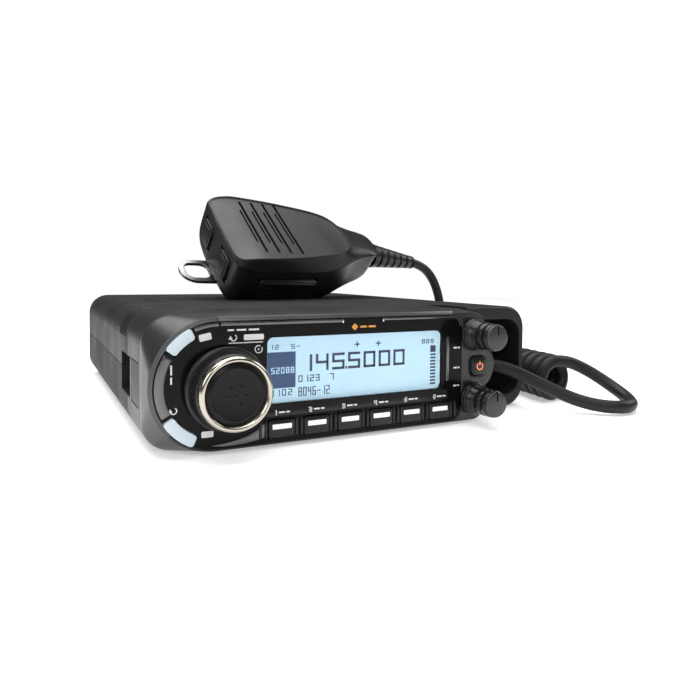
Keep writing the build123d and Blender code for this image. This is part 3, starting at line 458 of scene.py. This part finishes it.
def dial_wedge(bm):
    """A raised wedge under the dial, drawn out along the panel's lower edge to a thin tail."""
    corners = [(-40.9, 8.0), (-43.6, 5.9), (-46.8, 4.5), (-50.0, 3.7), (-53.6, 3.1), (-58.2, 2.7),
               (-53.6, 2.1), (-50.0, 2.1), (-46.8, 2.3), (-43.6, 2.8), (-40.9, 3.4)]
    outline = bm.faces.new([bm.verts.new((x, 0.3, z)) for x, z in corners])
    raised = bmesh.ops.extrude_face_region(bm, geom=[outline])["geom"]
    top = {item for item in raised if isinstance(item, bmesh.types.BMVert)}
    bmesh.ops.translate(bm, verts=list(top), vec=(0, -0.75, 0))
    rim = [edge for edge in bm.edges if edge.verts[0] in top and edge.verts[1] in top]
    bmesh.ops.bevel(bm, geom=rim, offset=0.2, offset_type="OFFSET", segments=2, profile=0.5,
                    affect="EDGES", clamp_overlap=True, material=-1)


def panel_trim():
    """The metal strips between the lit keys, along the panel's top with a gap, and beside the display; the grey
    strips and the wedge under the dial are lighter than the bezel, a painted highlight of the panel's bevelled
    edge.
    """
    bm = bmesh.new()
    dial_wedge(bm)
    outer = panel_edge - trim_gap
    top = panel_end[1] + outer
    thin, thick = (-0.25, 0.3), (-0.35, 0.3)
    arc_bar(bm, panel_end, outer - 2.9, outer, 148, 208, thick, edge=0.3)
    arc_bar(bm, panel_end, outer - 1.2, outer, 90, 113, thin, edge=0.15)
    slab(bm, (-54.4, -14.9), thin, (top - 1.1, top), edge=0.15)
    slab(bm, (-0.4, 28.2), thin, (top - 0.9, top), edge=0.15)
    arc_bar(bm, (28.0, 34.4), 3.1, 3.85, 5, 90, thin, edge=0.15)
    for x in (-15.2, -0.4):
        slab(bm, (x, x + 0.5), thick, (top - 1.3, top), edge=0.12, material=1)
    slab(bm, (25.4, 26.5), thin, (15.5, 31.0), corner=0.4, edge=0.1)
    piece("panel_trim", bm, "head", "bezel_satin", trim_metal_painted_highlight, trim_bright)


panel_trim()


def bezel_rim():
    """The bezel's slanted front edge, round the panel's end and along its top; its satin is painted lighter
    than the bezel's, a painted highlight of the overhead light.
    """
    bm = bmesh.new()
    inner, outer = panel_edge + trim_gap, panel_edge + 1.45
    deep = (-0.4, 0.6)
    arc_bar(bm, panel_end, inner, outer, 90, 224, deep)
    slab(bm, (panel_end[0], 28.0), deep, (panel_end[1] + inner, panel_end[1] + outer))
    for vert in bm.verts:
        away = math.hypot(min(0, vert.co.x - panel_end[0]), vert.co.z - panel_end[1])
        if vert.co.y < 0 and away > outer - 0.1:
            vert.co.y = 0.3
    soften(bm, list(bm.faces), 0.2)
    # Painted highlight: this edge gets the bezel's satin about three times lighter, standing for the light on
    # its slope.
    piece("bezel_rim", bm, "head", "bezel_satin",
          finish("rim_satin_painted_highlight", (0.045, 0.045, 0.046), (0.065, 0.065, 0.067), 0.3, 0.4, grain_scale=5000,
                 grain_depth=0.00001))


bezel_rim()


def key_ledge():
    """The sloping ledge under the display, and the pairs of posts that stand between the keys; their gloss is
    painted lighter than the panel's, a painted highlight of the ledge catching the light.
    """
    bm = bmesh.new()
    ledge = slab(bm, (-40.8, 26.0), (-0.7, 0.4), (9.4, 12.6))
    for vert in {vert for face in ledge for vert in face.verts}:
        if vert.co.z > 12 and vert.co.y < 0:
            vert.co.y = -0.05
    soften(bm, list(bm.faces), 0.25)
    for index in range(7):
        middle = first_key + key_pitch * (index - 0.5)
        for side in (-0.85, 0.85):
            slab(bm, (middle + side - 0.45, middle + side + 0.45), (-0.8, 0.4), (3.0, 8.4), edge=0.3)
    # Painted light: the ledge and posts are part of the panel, but this gloss is several times lighter than the
    # panel's.
    piece("key_ledge", bm, "head", "panel_gloss", finish(
        "ledge_gloss_painted_light", (0.014, 0.014, 0.0145), (0.022, 0.022, 0.023), 0.2, 0.28, specular_ior_level=0.25))


key_ledge()


# ---------------------------------------------------------------- display
# Pale blue liquid-crystal display behind a clear window: navy figures, an inverted box at the left and a
# bar meter at the right. The figures are made up and say nothing.
segments_of = {"0": "abcdef", "1": "bc", "2": "abged", "3": "abgcd", "4": "fgbc", "5": "afgcd",
               "6": "afgedc", "7": "abc", "8": "abcdefg", "-": "g"}


def figures(bm, text, x, z, width, height, stroke, pitch, y, material=0):
    """A row of seven-bar figures whose lower left corner is at x, z."""
    for index, figure in enumerate(text):
        x0 = x + pitch * index
        x1 = x0 + width
        low, high, middle = z, z + height, z + height / 2
        half = stroke / 2
        bars = {"a": ((x0, x1), (high - stroke, high)), "d": ((x0, x1), (low, low + stroke)),
                "g": ((x0, x1), (middle - half, middle + half)),
                "b": ((x1 - stroke, x1), (middle, high)), "c": ((x1 - stroke, x1), (low, middle)),
                "f": ((x0, x0 + stroke), (middle, high)), "e": ((x0, x0 + stroke), (low, middle))}
        for segment in segments_of[figure]:
            across, up = bars[segment]
            slab(bm, across, y, up, material=material)


def lit_finish(name, colour, strength, roughness):
    """A faintly glowing plastic or display surface, its glow uneven by about a tenth."""
    material = finish(name, [c * 0.8 for c in colour], [c * 0.9 for c in colour], roughness, roughness + 0.1,
                      grain_scale=400, grain_depth=0.000005)
    nodes, links = material.node_tree.nodes, material.node_tree.links
    shader = nodes["Principled BSDF"]
    grain = next(node for node in nodes if node.type == "GROUP")
    links.new(grain.outputs["Color"], shader.inputs["Emission Color"])
    shader.inputs["Emission Strength"].default_value = strength
    return material


def display():
    """The lit face with its box, the rows of figures, two signs and the bar meter."""
    bm = bmesh.new()
    slab(bm, (-40.4, 25.0), (2.35, 2.55), (12.5, 33.4))
    slab(bm, (-39.4, -30.2), (2.28, 2.36), (17.3, 28.4), material=1)
    ink = (2.26, 2.34)
    figures(bm, "1455000", -29.0, 21.9, 4.4, 5.3, 0.8, 5.7, ink, material=2)
    slab(bm, (-12.85, -12.25), ink, (21.9, 22.7), material=2)
    figures(bm, "0123", -29.2, 18.7, 1.35, 2.1, 0.3, 1.95, ink, material=2)
    figures(bm, "7", -18.4, 18.7, 1.35, 2.1, 0.3, 2.0, ink, material=2)
    figures(bm, "8046-12", -29.2, 14.3, 1.15, 2.8, 0.3, 1.6, ink, material=2)
    figures(bm, "0102", -38.6, 14.9, 1.3, 2.0, 0.28, 2.0, ink, material=2)
    figures(bm, "12", -38.8, 29.2, 1.2, 1.5, 0.25, 1.8, ink, material=2)
    figures(bm, "5-", -31.7, 29.2, 1.2, 1.5, 0.25, 1.8, ink, material=2)
    figures(bm, "52088", -38.2, 21.8, 1.1, 1.9, 0.26, 1.6, (2.2, 2.27))
    for x in (-8.6, -0.7):
        slab(bm, (x - 1.0, x + 1.0), ink, (29.45, 29.8), material=2)
        slab(bm, (x - 0.18, x + 0.18), ink, (28.7, 30.5), material=2)
    figures(bm, "888", 16.6, 28.7, 1.2, 1.5, 0.25, 1.8, ink, material=2)
    for index in range(12):
        low = 14.4 + 1.12 * index
        high = low + (0.6 if index < 10 else 1.2)
        slab(bm, (20.1, 22.3), ink, (low, high), material=2)
    piece("display_face", bm, "head", "display_blue",
          lit_finish("display_blue", (0.44, 0.64, 0.76), 0.72, 0.4),
          lit_finish("display_box", (0.014, 0.055, 0.15), 0.5, 0.4),
          finish("display_ink", (0.012, 0.03, 0.075), (0.02, 0.04, 0.1), 0.3, 0.4))


display()
dress(finish("module_black", (0.01, 0.01, 0.01), (0.02, 0.02, 0.02), 0.3, 0.4), "display_module")
dress(finish("window_clear", (0.97, 0.98, 1.0), (1.0, 1.0, 1.0), 0.0, 0.02, grain_depth=0.0,
             transmission_weight=1.0, ior=1.2), "display_window")


# ---------------------------------------------------------------- printed marks
# Printed in white: a number and two dashes above each key, blank tablets, bent arrows and a turning sign
# round the dial, and dashes beside the knobs. An orange diamond with two dashes stands above the display.
def tablet(bm, x, z, width, height, y, lean=0.0, material=0):
    """A blank tablet with rounded corners round x, z, turned by lean degrees."""
    made = slab(bm, (x - width / 2, x + width / 2), y, (z - height / 2, z + height / 2), corner=0.4,
                material=material)
    bmesh.ops.rotate(bm, verts=list({vert for face in made for vert in face.verts}), cent=(x, 0, z),
                     matrix=Matrix.Rotation(-math.radians(lean), 3, "Y"))


def printed_marks():
    bm = bmesh.new()
    flush = (-0.03, 0.2)
    on_ledge = (-0.7, -0.2)
    for index in range(6):
        x = first_key + key_pitch * index
        figures(bm, str(index + 1), x - 2.6, 9.75, 1.0, 1.5, 0.3, 1.0, on_ledge)
        slab(bm, (x - 0.9, x + 1.0), on_ledge, (10.3, 10.75))
        slab(bm, (x + 1.5, x + 2.6), on_ledge, (10.3, 10.75))
    for z in (26.9, 19.9, 13.6):
        slab(bm, (28.6, 30.0), flush, (z - 0.25, z + 0.25))
        slab(bm, (30.4, 31.2), flush, (z - 0.25, z + 0.25))
    tablet(bm, -58.9, 34.1, 3.6, 2.0, flush, lean=12)
    tablet(bm, -44.4, 33.6, 6.2, 1.7, flush)
    tablet(bm, -58.2, 6.1, 3.5, 1.8, flush)
    for x, width in ((-51.4, 1.9), (-48.2, 2.9), (-44.4, 3.2)):
        slab(bm, (x - width / 2, x + width / 2), flush, (35.6, 36.1))
    for low, high in ((21.2, 23.2), (23.8, 26.6)):
        slab(bm, (-68.7, -68.2), flush, (low, high))
    slab(bm, (-52.1, -41.4), flush, (31.9, 32.2))
    turning_sign = (-42.9, 29.9)
    arc_bar(bm, turning_sign, 0.95, 1.25, 60, 390, flush)
    arc_bar(bm, turning_sign, 0.0, 0.3, 0, 350, flush)
    tablet(bm, -42.1, 31.0, 2.6, 0.3, flush, lean=58)
    for x, z in ((-50.6, 33.6), (-67.8, 13.7)):
        arc_bar(bm, (x, z), 0.75, 1.05, -150, 60, flush)
        tip = bmesh.ops.create_cone(bm, segments=3, radius1=0.75, radius2=0.75, depth=0.23,
                                    cap_ends=True)["verts"]
        bmesh.ops.rotate(bm, verts=tip, cent=(0, 0, 0), matrix=Matrix.Rotation(math.pi / 2, 3, "X"))
        bmesh.ops.translate(bm, verts=tip, vec=(x - 0.9, 0.085, z - 0.1))
    tablet(bm, -10.6, 35.5, 1.7, 1.7, flush, lean=45, material=1)
    slab(bm, (-8.6, -6.2), flush, (35.2, 35.8), material=1)
    slab(bm, (-5.6, -2.9), flush, (35.2, 35.8), material=1)
    piece("printed_marks", bm, "head", "lit_white",
          finish("print_white", (0.66, 0.66, 0.66), (0.8, 0.8, 0.8), 0.4, 0.5),
          finish("print_orange", (0.6, 0.25, 0.03), (0.75, 0.33, 0.05), 0.4, 0.5))


printed_marks()


# ---------------------------------------------------------------- keys
# Six black push keys, each with a white bar let into its face, two milky lit keys bent round the panel's
# end, the power key with its lit ring sign, and the grey release button on the left side.
key_gloss = finish("key_gloss", (0.012, 0.012, 0.0125), (0.02, 0.02, 0.021), 0.2, 0.3,
                   specular_ior_level=0.25)
key_white = lit_finish("key_white", (0.8, 0.83, 0.85), 0.5, 0.35)
lit_milk = lit_finish("lit_milk", (0.56, 0.64, 0.7), 0.25, 0.35)


def push_key(number):
    """A cap with a raised face and a white bar in its upper half."""
    bm = bmesh.new()
    x = first_key + key_pitch * (number - 1)
    slab(bm, (x - 4.2, x + 4.2), (-1.0, 4.4), (2.9, 8.3), corner=0.7, edge=0.35)
    slab(bm, (x - 3.7, x + 3.7), (-1.15, -0.5), (3.3, 7.9), corner=0.6, edge=0.3)
    slab(bm, (x - 3.1, x + 3.1), (-1.22, -0.6), (5.6, 7.1), corner=0.2, edge=0.08, material=1)
    key = piece(f"key_cap_{number}", bm, f"soft_{number}", "key_black", key_gloss, key_white)
    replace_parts(key, f"key_{number}")


def lit_key(name, start, end):
    """A milky key bent round the panel's end, between two angles in degrees."""
    bm = bmesh.new()
    arc_bar(bm, panel_end, 15.3, 18.7, start, end, (-0.8, 3.4), edge=0.5, corner=1.2)
    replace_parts(piece(f"{name}_lit_key", bm, name, "lit_white", lit_milk), f"{name}_key")


def power_button():
    """A rounded square cap whose sign is a ring, open at the top, with a stroke in the gap."""
    bm = bmesh.new()
    x, z = 39.3, panel_end[1]
    slab(bm, (x - 3.3, x + 3.3), (-0.9, 4.4), (z - 3.25, z + 3.25), corner=1.6, edge=0.3)
    slab(bm, (x - 2.6, x + 2.6), (-1.2, -0.5), (z - 2.55, z + 2.55), corner=1.3, edge=0.3)
    arc_bar(bm, (x, z), 1.05, 1.4, 130, 410, (-1.28, -0.9), material=1)
    slab(bm, (x - 0.18, x + 0.18), (-1.28, -0.9), (z + 0.3, z + 1.7), material=1)
    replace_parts(piece("power_button", bm, "power", "key_black", key_gloss,
                      lit_finish("sign_orange", (0.95, 0.25, 0.12), 0.9, 0.4)), "power_key")


for number in range(1, 7):
    push_key(number)
lit_key("menu", 116, 144)
lit_key("back", 212, 246)
power_button()
dress(finish("latch_grey", (0.02, 0.02, 0.021), (0.032, 0.032, 0.034), 0.45, 0.6, edge=0.0005,
             specular_ior_level=0.2), "latch_button")


# ---------------------------------------------------------------- dial
# Knurled rubber-feel dial with a polished champagne ring and a dished black cap with seven dimples.
# The body is moulded; the ring and the cap are let into its front.
dial_at = (-53.0, 19.2)
knurls = 84
knurl_depth = 0.05          # as a share of the radius


def spun(bm, profile, at, steps):
    """Turns a closed profile of (depth, radius) points about the front-to-back axis through at."""
    before = set(bm.verts)
    verts = [bm.verts.new((at[0] + radius, depth, at[1])) for depth, radius in profile]
    edges = [bm.edges.new(pair) for pair in zip(verts, verts[1:] + verts[:1])]
    bmesh.ops.spin(bm, geom=verts + edges, cent=(at[0], 0, at[1]), axis=(0, 1, 0),
                   angle=2 * math.pi, steps=steps, use_merge=True)
    bmesh.ops.remove_doubles(bm, verts=[v for v in bm.verts if v not in before], dist=0.0005)


def dial():
    """The knurled body, whose every other row of points between its two beads is drawn in, and its ring."""
    bm = bmesh.new()
    spun(bm, [(-0.8, 4.0), (-0.8, 11.8), (-1.1, 12.15), (-2.7, 12.2), (-3.0, 12.0), (-3.2, 11.35),
              (-3.4, 11.6), (-5.6, 11.3), (-7.8, 11.0), (-8.1, 10.7), (-9.0, 10.75), (-9.4, 10.4),
              (-9.4, 4.0)], dial_at, knurls * 2)
    for vert in bm.verts:
        if -7.9 < vert.co.y < -3.3:
            across, up = vert.co.x - dial_at[0], vert.co.z - dial_at[1]
            turn = round(math.atan2(up, across) / math.pi * knurls)
            if turn % 2:
                vert.co.x -= across * knurl_depth
                vert.co.z -= up * knurl_depth
    skirt = piece("dial_body", bm, "dial", "knob_black",
                  finish("dial_rubber", (0.01, 0.01, 0.0105), (0.018, 0.018, 0.019), 0.28, 0.4,
                         specular_ior_level=0.3), sharp=50)
    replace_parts(skirt, "dial_skirt")
    bm = bmesh.new()
    spun(bm, [(-9.4, 8.3), (-9.4, 10.5), (-11.2, 10.5), (-11.75, 10.35), (-12.15, 10.0), (-12.35, 9.6),
              (-12.3, 9.3), (-12.05, 9.05), (-11.2, 8.6), (-10.7, 8.3)], dial_at, 144)
    ring = piece("dial_bright_ring", bm, "dial", "champagne_chrome",
                 finish("champagne_chrome", (0.42, 0.39, 0.33), (0.5, 0.465, 0.39), 0.16, 0.24,
                        grain_scale=600, grain_depth=0.000001, metallic=1.0), sharp=60)
    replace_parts(ring, "dial_ring")


def carved(bm, tool):
    """The closed mesh bm with the closed mesh tool taken away."""
    shapes = []
    for part in (bm, tool):
        bmesh.ops.recalc_face_normals(part, faces=part.faces)
        mesh = bpy.data.meshes.new("carving")
        part.to_mesh(mesh)
        part.free()
        shape = bpy.data.objects.new("carving", mesh)
        bpy.context.scene.collection.objects.link(shape)
        shapes.append(shape)
    cut = shapes[0].modifiers.new("carve", "BOOLEAN")
    cut.object = shapes[1]
    cut.solver = "EXACT"
    seen = shapes[0].evaluated_get(bpy.context.evaluated_depsgraph_get())
    result = bmesh.new()
    result.from_mesh(seen.to_mesh())
    for shape in shapes:
        bpy.data.objects.remove(shape)
    return result


def dial_finger_cap():
    """The dished cap, with one dimple in the middle and six round it."""
    bm = bmesh.new()
    spun(bm, [(-10.4, 0), (-10.4, 8.75), (-10.9, 8.75), (-11.2, 8.55), (-11.75, 7.5), (-11.8, 7.3),
              (-11.6, 7.05), (-11.42, 6.0), (-11.28, 4.0), (-11.22, 2.0), (-11.2, 0)], dial_at, 120)
    balls = bmesh.new()
    for index in range(7):
        angle = math.radians(60 * index)
        reach = 2.75 if index < 6 else 0.0
        ball = bmesh.ops.create_uvsphere(balls, u_segments=16, v_segments=8, radius=0.95)["verts"]
        bmesh.ops.translate(balls, verts=ball, vec=(dial_at[0] + reach * math.cos(angle), -11.95,
                                                    dial_at[1] + reach * math.sin(angle)))
    cap = piece("dial_finger_cap", carved(bm, balls), "dial", "knob_black",
                finish("cap_black", (0.006, 0.006, 0.0065), (0.012, 0.012, 0.0125), 0.26, 0.36,
                       specular_ior_level=0.15), sharp=25)
    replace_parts(cap, "dial_cap")


dial()
dial_finger_cap()


# ---------------------------------------------------------------- volume and squelch knobs
# Two turned glossy black knobs with ringed skirts, one above the other at the head's right.
# Each has a satin grey cap with a pointer notch let into its front.
knob_gloss = finish("knob_gloss", (0.006, 0.006, 0.0065), (0.012, 0.012, 0.0125), 0.16, 0.26,
                    specular_ior_level=0.3)
knob_cap_grey = finish("knob_cap_grey", (0.035, 0.035, 0.037), (0.055, 0.055, 0.058), 0.3, 0.42,
                       grain_scale=2500, metallic=0.5)


def small_knob(name, at):
    """The turned body in one piece, and the cap, notched from its rim towards the middle."""
    bm = bmesh.new()
    spun(bm, [(-0.8, 3.9), (-0.8, 5.5), (-1.0, 5.7), (-2.0, 5.7), (-2.2, 5.45), (-2.4, 5.7), (-3.2, 5.7),
              (-3.4, 5.4), (-3.7, 5.5), (-4.2, 5.3), (-4.5, 4.85), (-6.6, 4.8), (-6.8, 4.6), (-7.0, 4.8),
              (-9.8, 4.75), (-10.0, 4.5), (-10.2, 4.72), (-12.4, 4.6), (-12.7, 4.3), (-12.7, 2.2),
              (-10.9, 2.2), (-10.9, 2.1), (-2.8, 2.1), (-2.8, 3.9)], at, 96)
    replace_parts(piece(f"{name}_knob_body", bm, name, "knob_black", knob_gloss, sharp=60), f"{name}_knob")
    bm = bmesh.new()
    spun(bm, [(-12.6, 0), (-12.6, 4.15), (-12.9, 4.38), (-13.3, 4.35), (-13.65, 4.1), (-13.8, 3.6),
              (-13.85, 0)], at, 96)
    notch = bmesh.new()
    slab(notch, (at[0] - 0.35, at[0] + 0.35), (-15, -13.0), (at[1] + 1.1, at[1] + 5))
    piece(f"{name}_knob_cap", carved(bm, notch), name, "knob_black", knob_cap_grey, sharp=40)


knob_column = 36.7
small_knob("volume", (knob_column, 31.3))
small_knob("squelch", (knob_column, 8.7))


# ---------------------------------------------------------------- hand microphone casing
# Two matte black moulded halves. The front one carries the grille louvres inside a raised rim, with its
# flank sloping out to the seam; the back one is held in the palm and lies on the radio on its lower side.
# Both are measured from the face's top end: u along it, v across it and w from the grille to the palm.
mic_u = Vector((0.992, 0.12, -0.026)).normalized()
mic_w = Vector((-0.094, 0.607, -0.789)).normalized()
mic_v = mic_w.cross(mic_u)
mic_place = Matrix((mic_u, mic_v, mic_w)).transposed().to_4x4()
mic_place.translation = (-23.0, 105.4, 74.7)
rest_height = cover_top + 0.2
face_middle = 33             # along the face, where an inset outline shrinks to
face_half_width = 25
rim_outline = [(-1.2, 0), (-1.2, 8), (-1.1, 14.0), (-0.8, 25.5), (10.2, 26.1), (15, 25.8), (21, 25.2),
               (31, 23.9), (43, 21.6), (54, 19.0), (61.5, 15.6), (65.4, 9.5), (66.6, 3.2)]
seam_outline = [(-0.9, 0), (-0.9, 8), (-0.9, 15.5), (-0.6, 27.3), (10.5, 27.7), (17, 27.5), (24, 27.2),
                (36, 26.3), (48, 24.6), (60, 20.0), (70, 14.2), (79, 10.4), (88, 9.2)]
belly_outline = [(-0.7, 0), (-0.7, 9), (-0.7, 16.5), (-0.2, 27.8), (10, 28.4), (18, 28.4), (26, 28.1),
                 (37, 27.0), (48, 25.2), (59, 21.0), (69, 15.0), (78, 11.0), (86, 9.0)]
palm_outline = [(1.6, 0), (1.6, 8), (1.8, 13.0), (3.4, 20.5), (10.5, 22.4), (17, 22.8), (25, 22.6),
                (35, 21.6), (45, 19.8), (54, 17.0), (61, 12.6), (66, 8.0), (68, 3.0)]


def mic_ring(bm, outline, w, inset=0.0):
    """A closed smooth loop on one half outline and its mirror image, at height w over the grille face."""
    half = [(face_middle + (u - face_middle) * (1 - inset / face_middle), v * (1 - inset / face_half_width))
            for u, v in outline]
    controls = half + [(u, -v) for u, v in reversed(half) if v > 0]
    curve = bpy.data.curves.new("outline", "CURVE")
    curve.dimensions = "3D"
    spline = curve.splines.new("NURBS")
    spline.points.add(len(controls) - 1)
    for control, (u, v) in zip(spline.points, controls):
        height = w(u) if callable(w) else w
        control.co = (u, v, height, 1)
    spline.order_u = 3
    spline.use_cyclic_u = True
    spline.resolution_u = 5
    line = bpy.data.objects.new("outline", curve)
    bpy.context.scene.collection.objects.link(line)
    mesh = bpy.data.meshes.new_from_object(line)
    bpy.data.objects.remove(line)
    before = set(bm.edges)
    bm.from_mesh(mesh)
    return [edge for edge in bm.edges if edge not in before]


def lofted(bm, rings):
    """Skins neighbouring loops and closes the first and the last."""
    for first, second in zip(rings, rings[1:]):
        bmesh.ops.bridge_loops(bm, edges=first + second)
    bmesh.ops.holes_fill(bm, edges=[edge for edge in bm.edges if edge.is_boundary])


def between(first, second, share):
    """The outline that lies this share of the way from the first to the second."""
    return [(a[0] + (b[0] - a[0]) * share, a[1] + (b[1] - a[1]) * share) for a, b in zip(first, second)]


bend_start = 13              # the face bends back from here to its end


def seam_height(u):
    """The seam lies 7 mm behind the face and comes forward at both ends, more at the top one."""
    if u < 12:
        return 7.0 - 2.5 * ((12 - u) / 13) ** 2
    if u > 51:
        return 7.0 - 1.2 * min(1, (u - 51) / 12)
    return 7.0


def mic_front():
    """From the face over the rim to the seam; then the louvres are cut and the end is bent back."""
    bm = bmesh.new()
    rings = [mic_ring(bm, rim_outline, 0.75, 2.4), mic_ring(bm, rim_outline, 0.6, 1.1),
             mic_ring(bm, rim_outline, 0.0, 0.8), mic_ring(bm, rim_outline, -0.05, 0.35),
             mic_ring(bm, rim_outline, 0.5), mic_ring(bm, between(rim_outline, seam_outline, 0.3), 2.2),
             mic_ring(bm, between(rim_outline, seam_outline, 0.8), lambda u: seam_height(u) - 1.6),
             mic_ring(bm, seam_outline, lambda u: seam_height(u) - 0.35),
             mic_ring(bm, seam_outline, lambda u: seam_height(u) - 0.1, 0.5)]
    lofted(bm, rings)
    grooves = bmesh.new()
    for index in range(4):
        u = 15.0 + 6.3 * index
        for across, low, high, width, depth in ((u, -22.6, 19.4, 0.7, 2.6), (u - 2.1, -14.5, 12.0, 0.5, 1.8)):
            block = slab(grooves, (across - width, across + width), (low, high), (-1.0, depth))
            upright = {edge for face in block for edge in face.edges
                       if abs(edge.verts[0].co.z - edge.verts[1].co.z) > 1}
            bmesh.ops.bevel(grooves, geom=list(upright), offset=width * 0.9, offset_type="OFFSET", segments=4,
                            profile=0.5, affect="EDGES", material=-1)
    bm = carved(bm, grooves)
    for u in range(bend_start, 0, -2):
        geometry = list(bm.verts) + list(bm.edges) + list(bm.faces)
        bmesh.ops.bisect_plane(bm, geom=geometry, plane_co=(u, 0, 0), plane_no=(1, 0, 0), dist=0.0001)
    for vert in bm.verts:
        if vert.co.x < bend_start:
            vert.co.z += (bend_start - vert.co.x) ** 2 * 0.013 * max(0, 1 - vert.co.z / 5)
    return bm


def mic_back():
    """From the seam down the flank, then a quarter round from the widest line to the palm."""
    bm = bmesh.new()
    rings = [mic_ring(bm, seam_outline, lambda u: seam_height(u) + 0.05, 0.5),
             mic_ring(bm, seam_outline, lambda u: seam_height(u) + 0.3),
             mic_ring(bm, between(seam_outline, belly_outline, 0.5), lambda u: seam_height(u) + 3.5)]
    for turn in (90, 75, 62, 50, 39, 28, 18, 8):
        angle = math.radians(turn)
        outline = between(palm_outline, belly_outline, math.sin(angle))
        rings.append(mic_ring(bm, outline, 16.0 + 12.2 * math.cos(angle)))
    rings.append(mic_ring(bm, palm_outline, 28.4, 4.5))
    lofted(bm, rings)
    return bm


def on_radio(bm):
    """Puts a microphone mesh in its place and cuts it flat where the casing lies on the radio."""
    bm.transform(mic_place)
    geometry = list(bm.verts) + list(bm.edges) + list(bm.faces)
    bmesh.ops.bisect_plane(bm, geom=geometry, plane_co=(0, 0, rest_height), plane_no=(0, 0, 1), dist=0.0001,
                           clear_inner=True)
    bmesh.ops.holes_fill(bm, edges=[edge for edge in bm.edges if edge.is_boundary])
    return bm


mic_matte = finish("mic_matte", (0.006, 0.006, 0.0065), (0.014, 0.014, 0.015), 0.34, 0.46,
                   grain_scale=1700, grain_depth=0.00006, specular_ior_level=0.3)
mic_soft = finish("mic_soft", (0.006, 0.006, 0.0065), (0.013, 0.013, 0.014), 0.4, 0.52,
                  grain_scale=2400, grain_depth=0.00004, specular_ior_level=0.35)
talk_pocket = ((10.7, 42.3), (19.7, 32.0), (9.7, 22.3))     # spans of u, v and w
step_pockets = [((-4.0, 5.5), (low, low + 13.6), (7.7, 20.3)) for low in (5.7, -19.3)]


def mic_casing():
    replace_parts(piece("mic_grille_half", on_radio(mic_front()), "mic", "mic_plastic", mic_matte, sharp=28),
                "mic_front_shell")
    pockets = bmesh.new()
    for pocket in [talk_pocket, *step_pockets]:
        slab(pockets, *pocket)
    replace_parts(piece("mic_palm_half", on_radio(carved(mic_back(), pockets)), "mic", "mic_plastic", mic_matte,
                      sharp=28), "mic_back_shell")


mic_casing()


# ---------------------------------------------------------------- microphone keys
# The talk key is a soft bar along the lower side with a ridge and rows of small pips; the up and down keys
# are rounded squares with a raised middle, on the top end.
def talk_bar():
    """The bar, its ridge nearest the seam, and three rows of seven pips."""
    bm = bmesh.new()
    slab(bm, (11.2, 41.8), (21.6, 28.9), (10.2, 21.8), corner=2.4, edge=0.9)
    slab(bm, (13.5, 39.5), (28.2, 29.7), (10.9, 12.5), corner=0.7, edge=0.45)
    for row in range(3):
        for column in range(7):
            pip = bmesh.ops.create_icosphere(bm, subdivisions=2, radius=0.42)["verts"]
            bmesh.ops.translate(bm, verts=pip, vec=(16.0 + 1.85 * column, 28.8, 14.5 + 2.7 * row))
    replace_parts(piece("talk_bar", on_radio(bm), "talk", "mic_rubber", mic_soft), "talk_key")


def step_button(name, side):
    """A soft square key on the top end, to one side (1) or the other (-1) of the middle."""
    bm = bmesh.new()
    middle = 12.5 * side
    verts = bmesh.ops.create_cube(bm, size=1)["verts"]
    bmesh.ops.scale(bm, vec=(6.4, 12.6, 11.4), verts=verts)
    bmesh.ops.translate(bm, vec=(1.4, middle, 14.0), verts=verts)
    along = [e for e in bm.edges if abs(e.verts[0].co.x - e.verts[1].co.x) > 3]
    bmesh.ops.bevel(bm, geom=along, offset=3.0, offset_type="OFFSET", segments=5, profile=0.5,
                    affect="EDGES", material=-1)
    soften(bm, list(bm.faces), 0.5)
    raised = slab(bm, (-2.15, -1.4), (middle - 4.6, middle + 4.6), (9.9, 18.1))
    inner = [e for face in raised for e in face.edges if abs(e.verts[0].co.x - e.verts[1].co.x) > 0.5]
    bmesh.ops.bevel(bm, geom=list(set(inner)), offset=1.9, offset_type="OFFSET", segments=5, profile=0.5,
                    affect="EDGES", material=-1)
    soften(bm, [face for face in bm.faces if face.calc_center_median().x < -1.9], 0.25)
    bar = slab(bm, (-2.4, -2.0), (middle - 1.5, middle + 1.5), (13.6, 14.4))
    soften(bm, bar, 0.12)
    bm.transform(mic_place)
    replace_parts(piece(f"{name}_button", bm, name, "mic_rubber", mic_soft), f"{name}_key")


talk_bar()
step_button("down", 1)
step_button("up", -1)


# ---------------------------------------------------------------- strain relief and plug
# The relief is a ribbed rubber sleeve on the microphone's narrow end. Of the plug, which is pushed into
# the jack, only the black boot shows.
dress(finish("relief_rubber", (0.007, 0.007, 0.0075), (0.016, 0.016, 0.017), 0.36, 0.5,
             grain_scale=2000, grain_depth=0.00004, edge=0.0003), "strain_relief")
dress(finish("boot_rubber", (0.012, 0.012, 0.013), (0.026, 0.026, 0.028), 0.38, 0.5, edge=0.0003), "mic_plug")
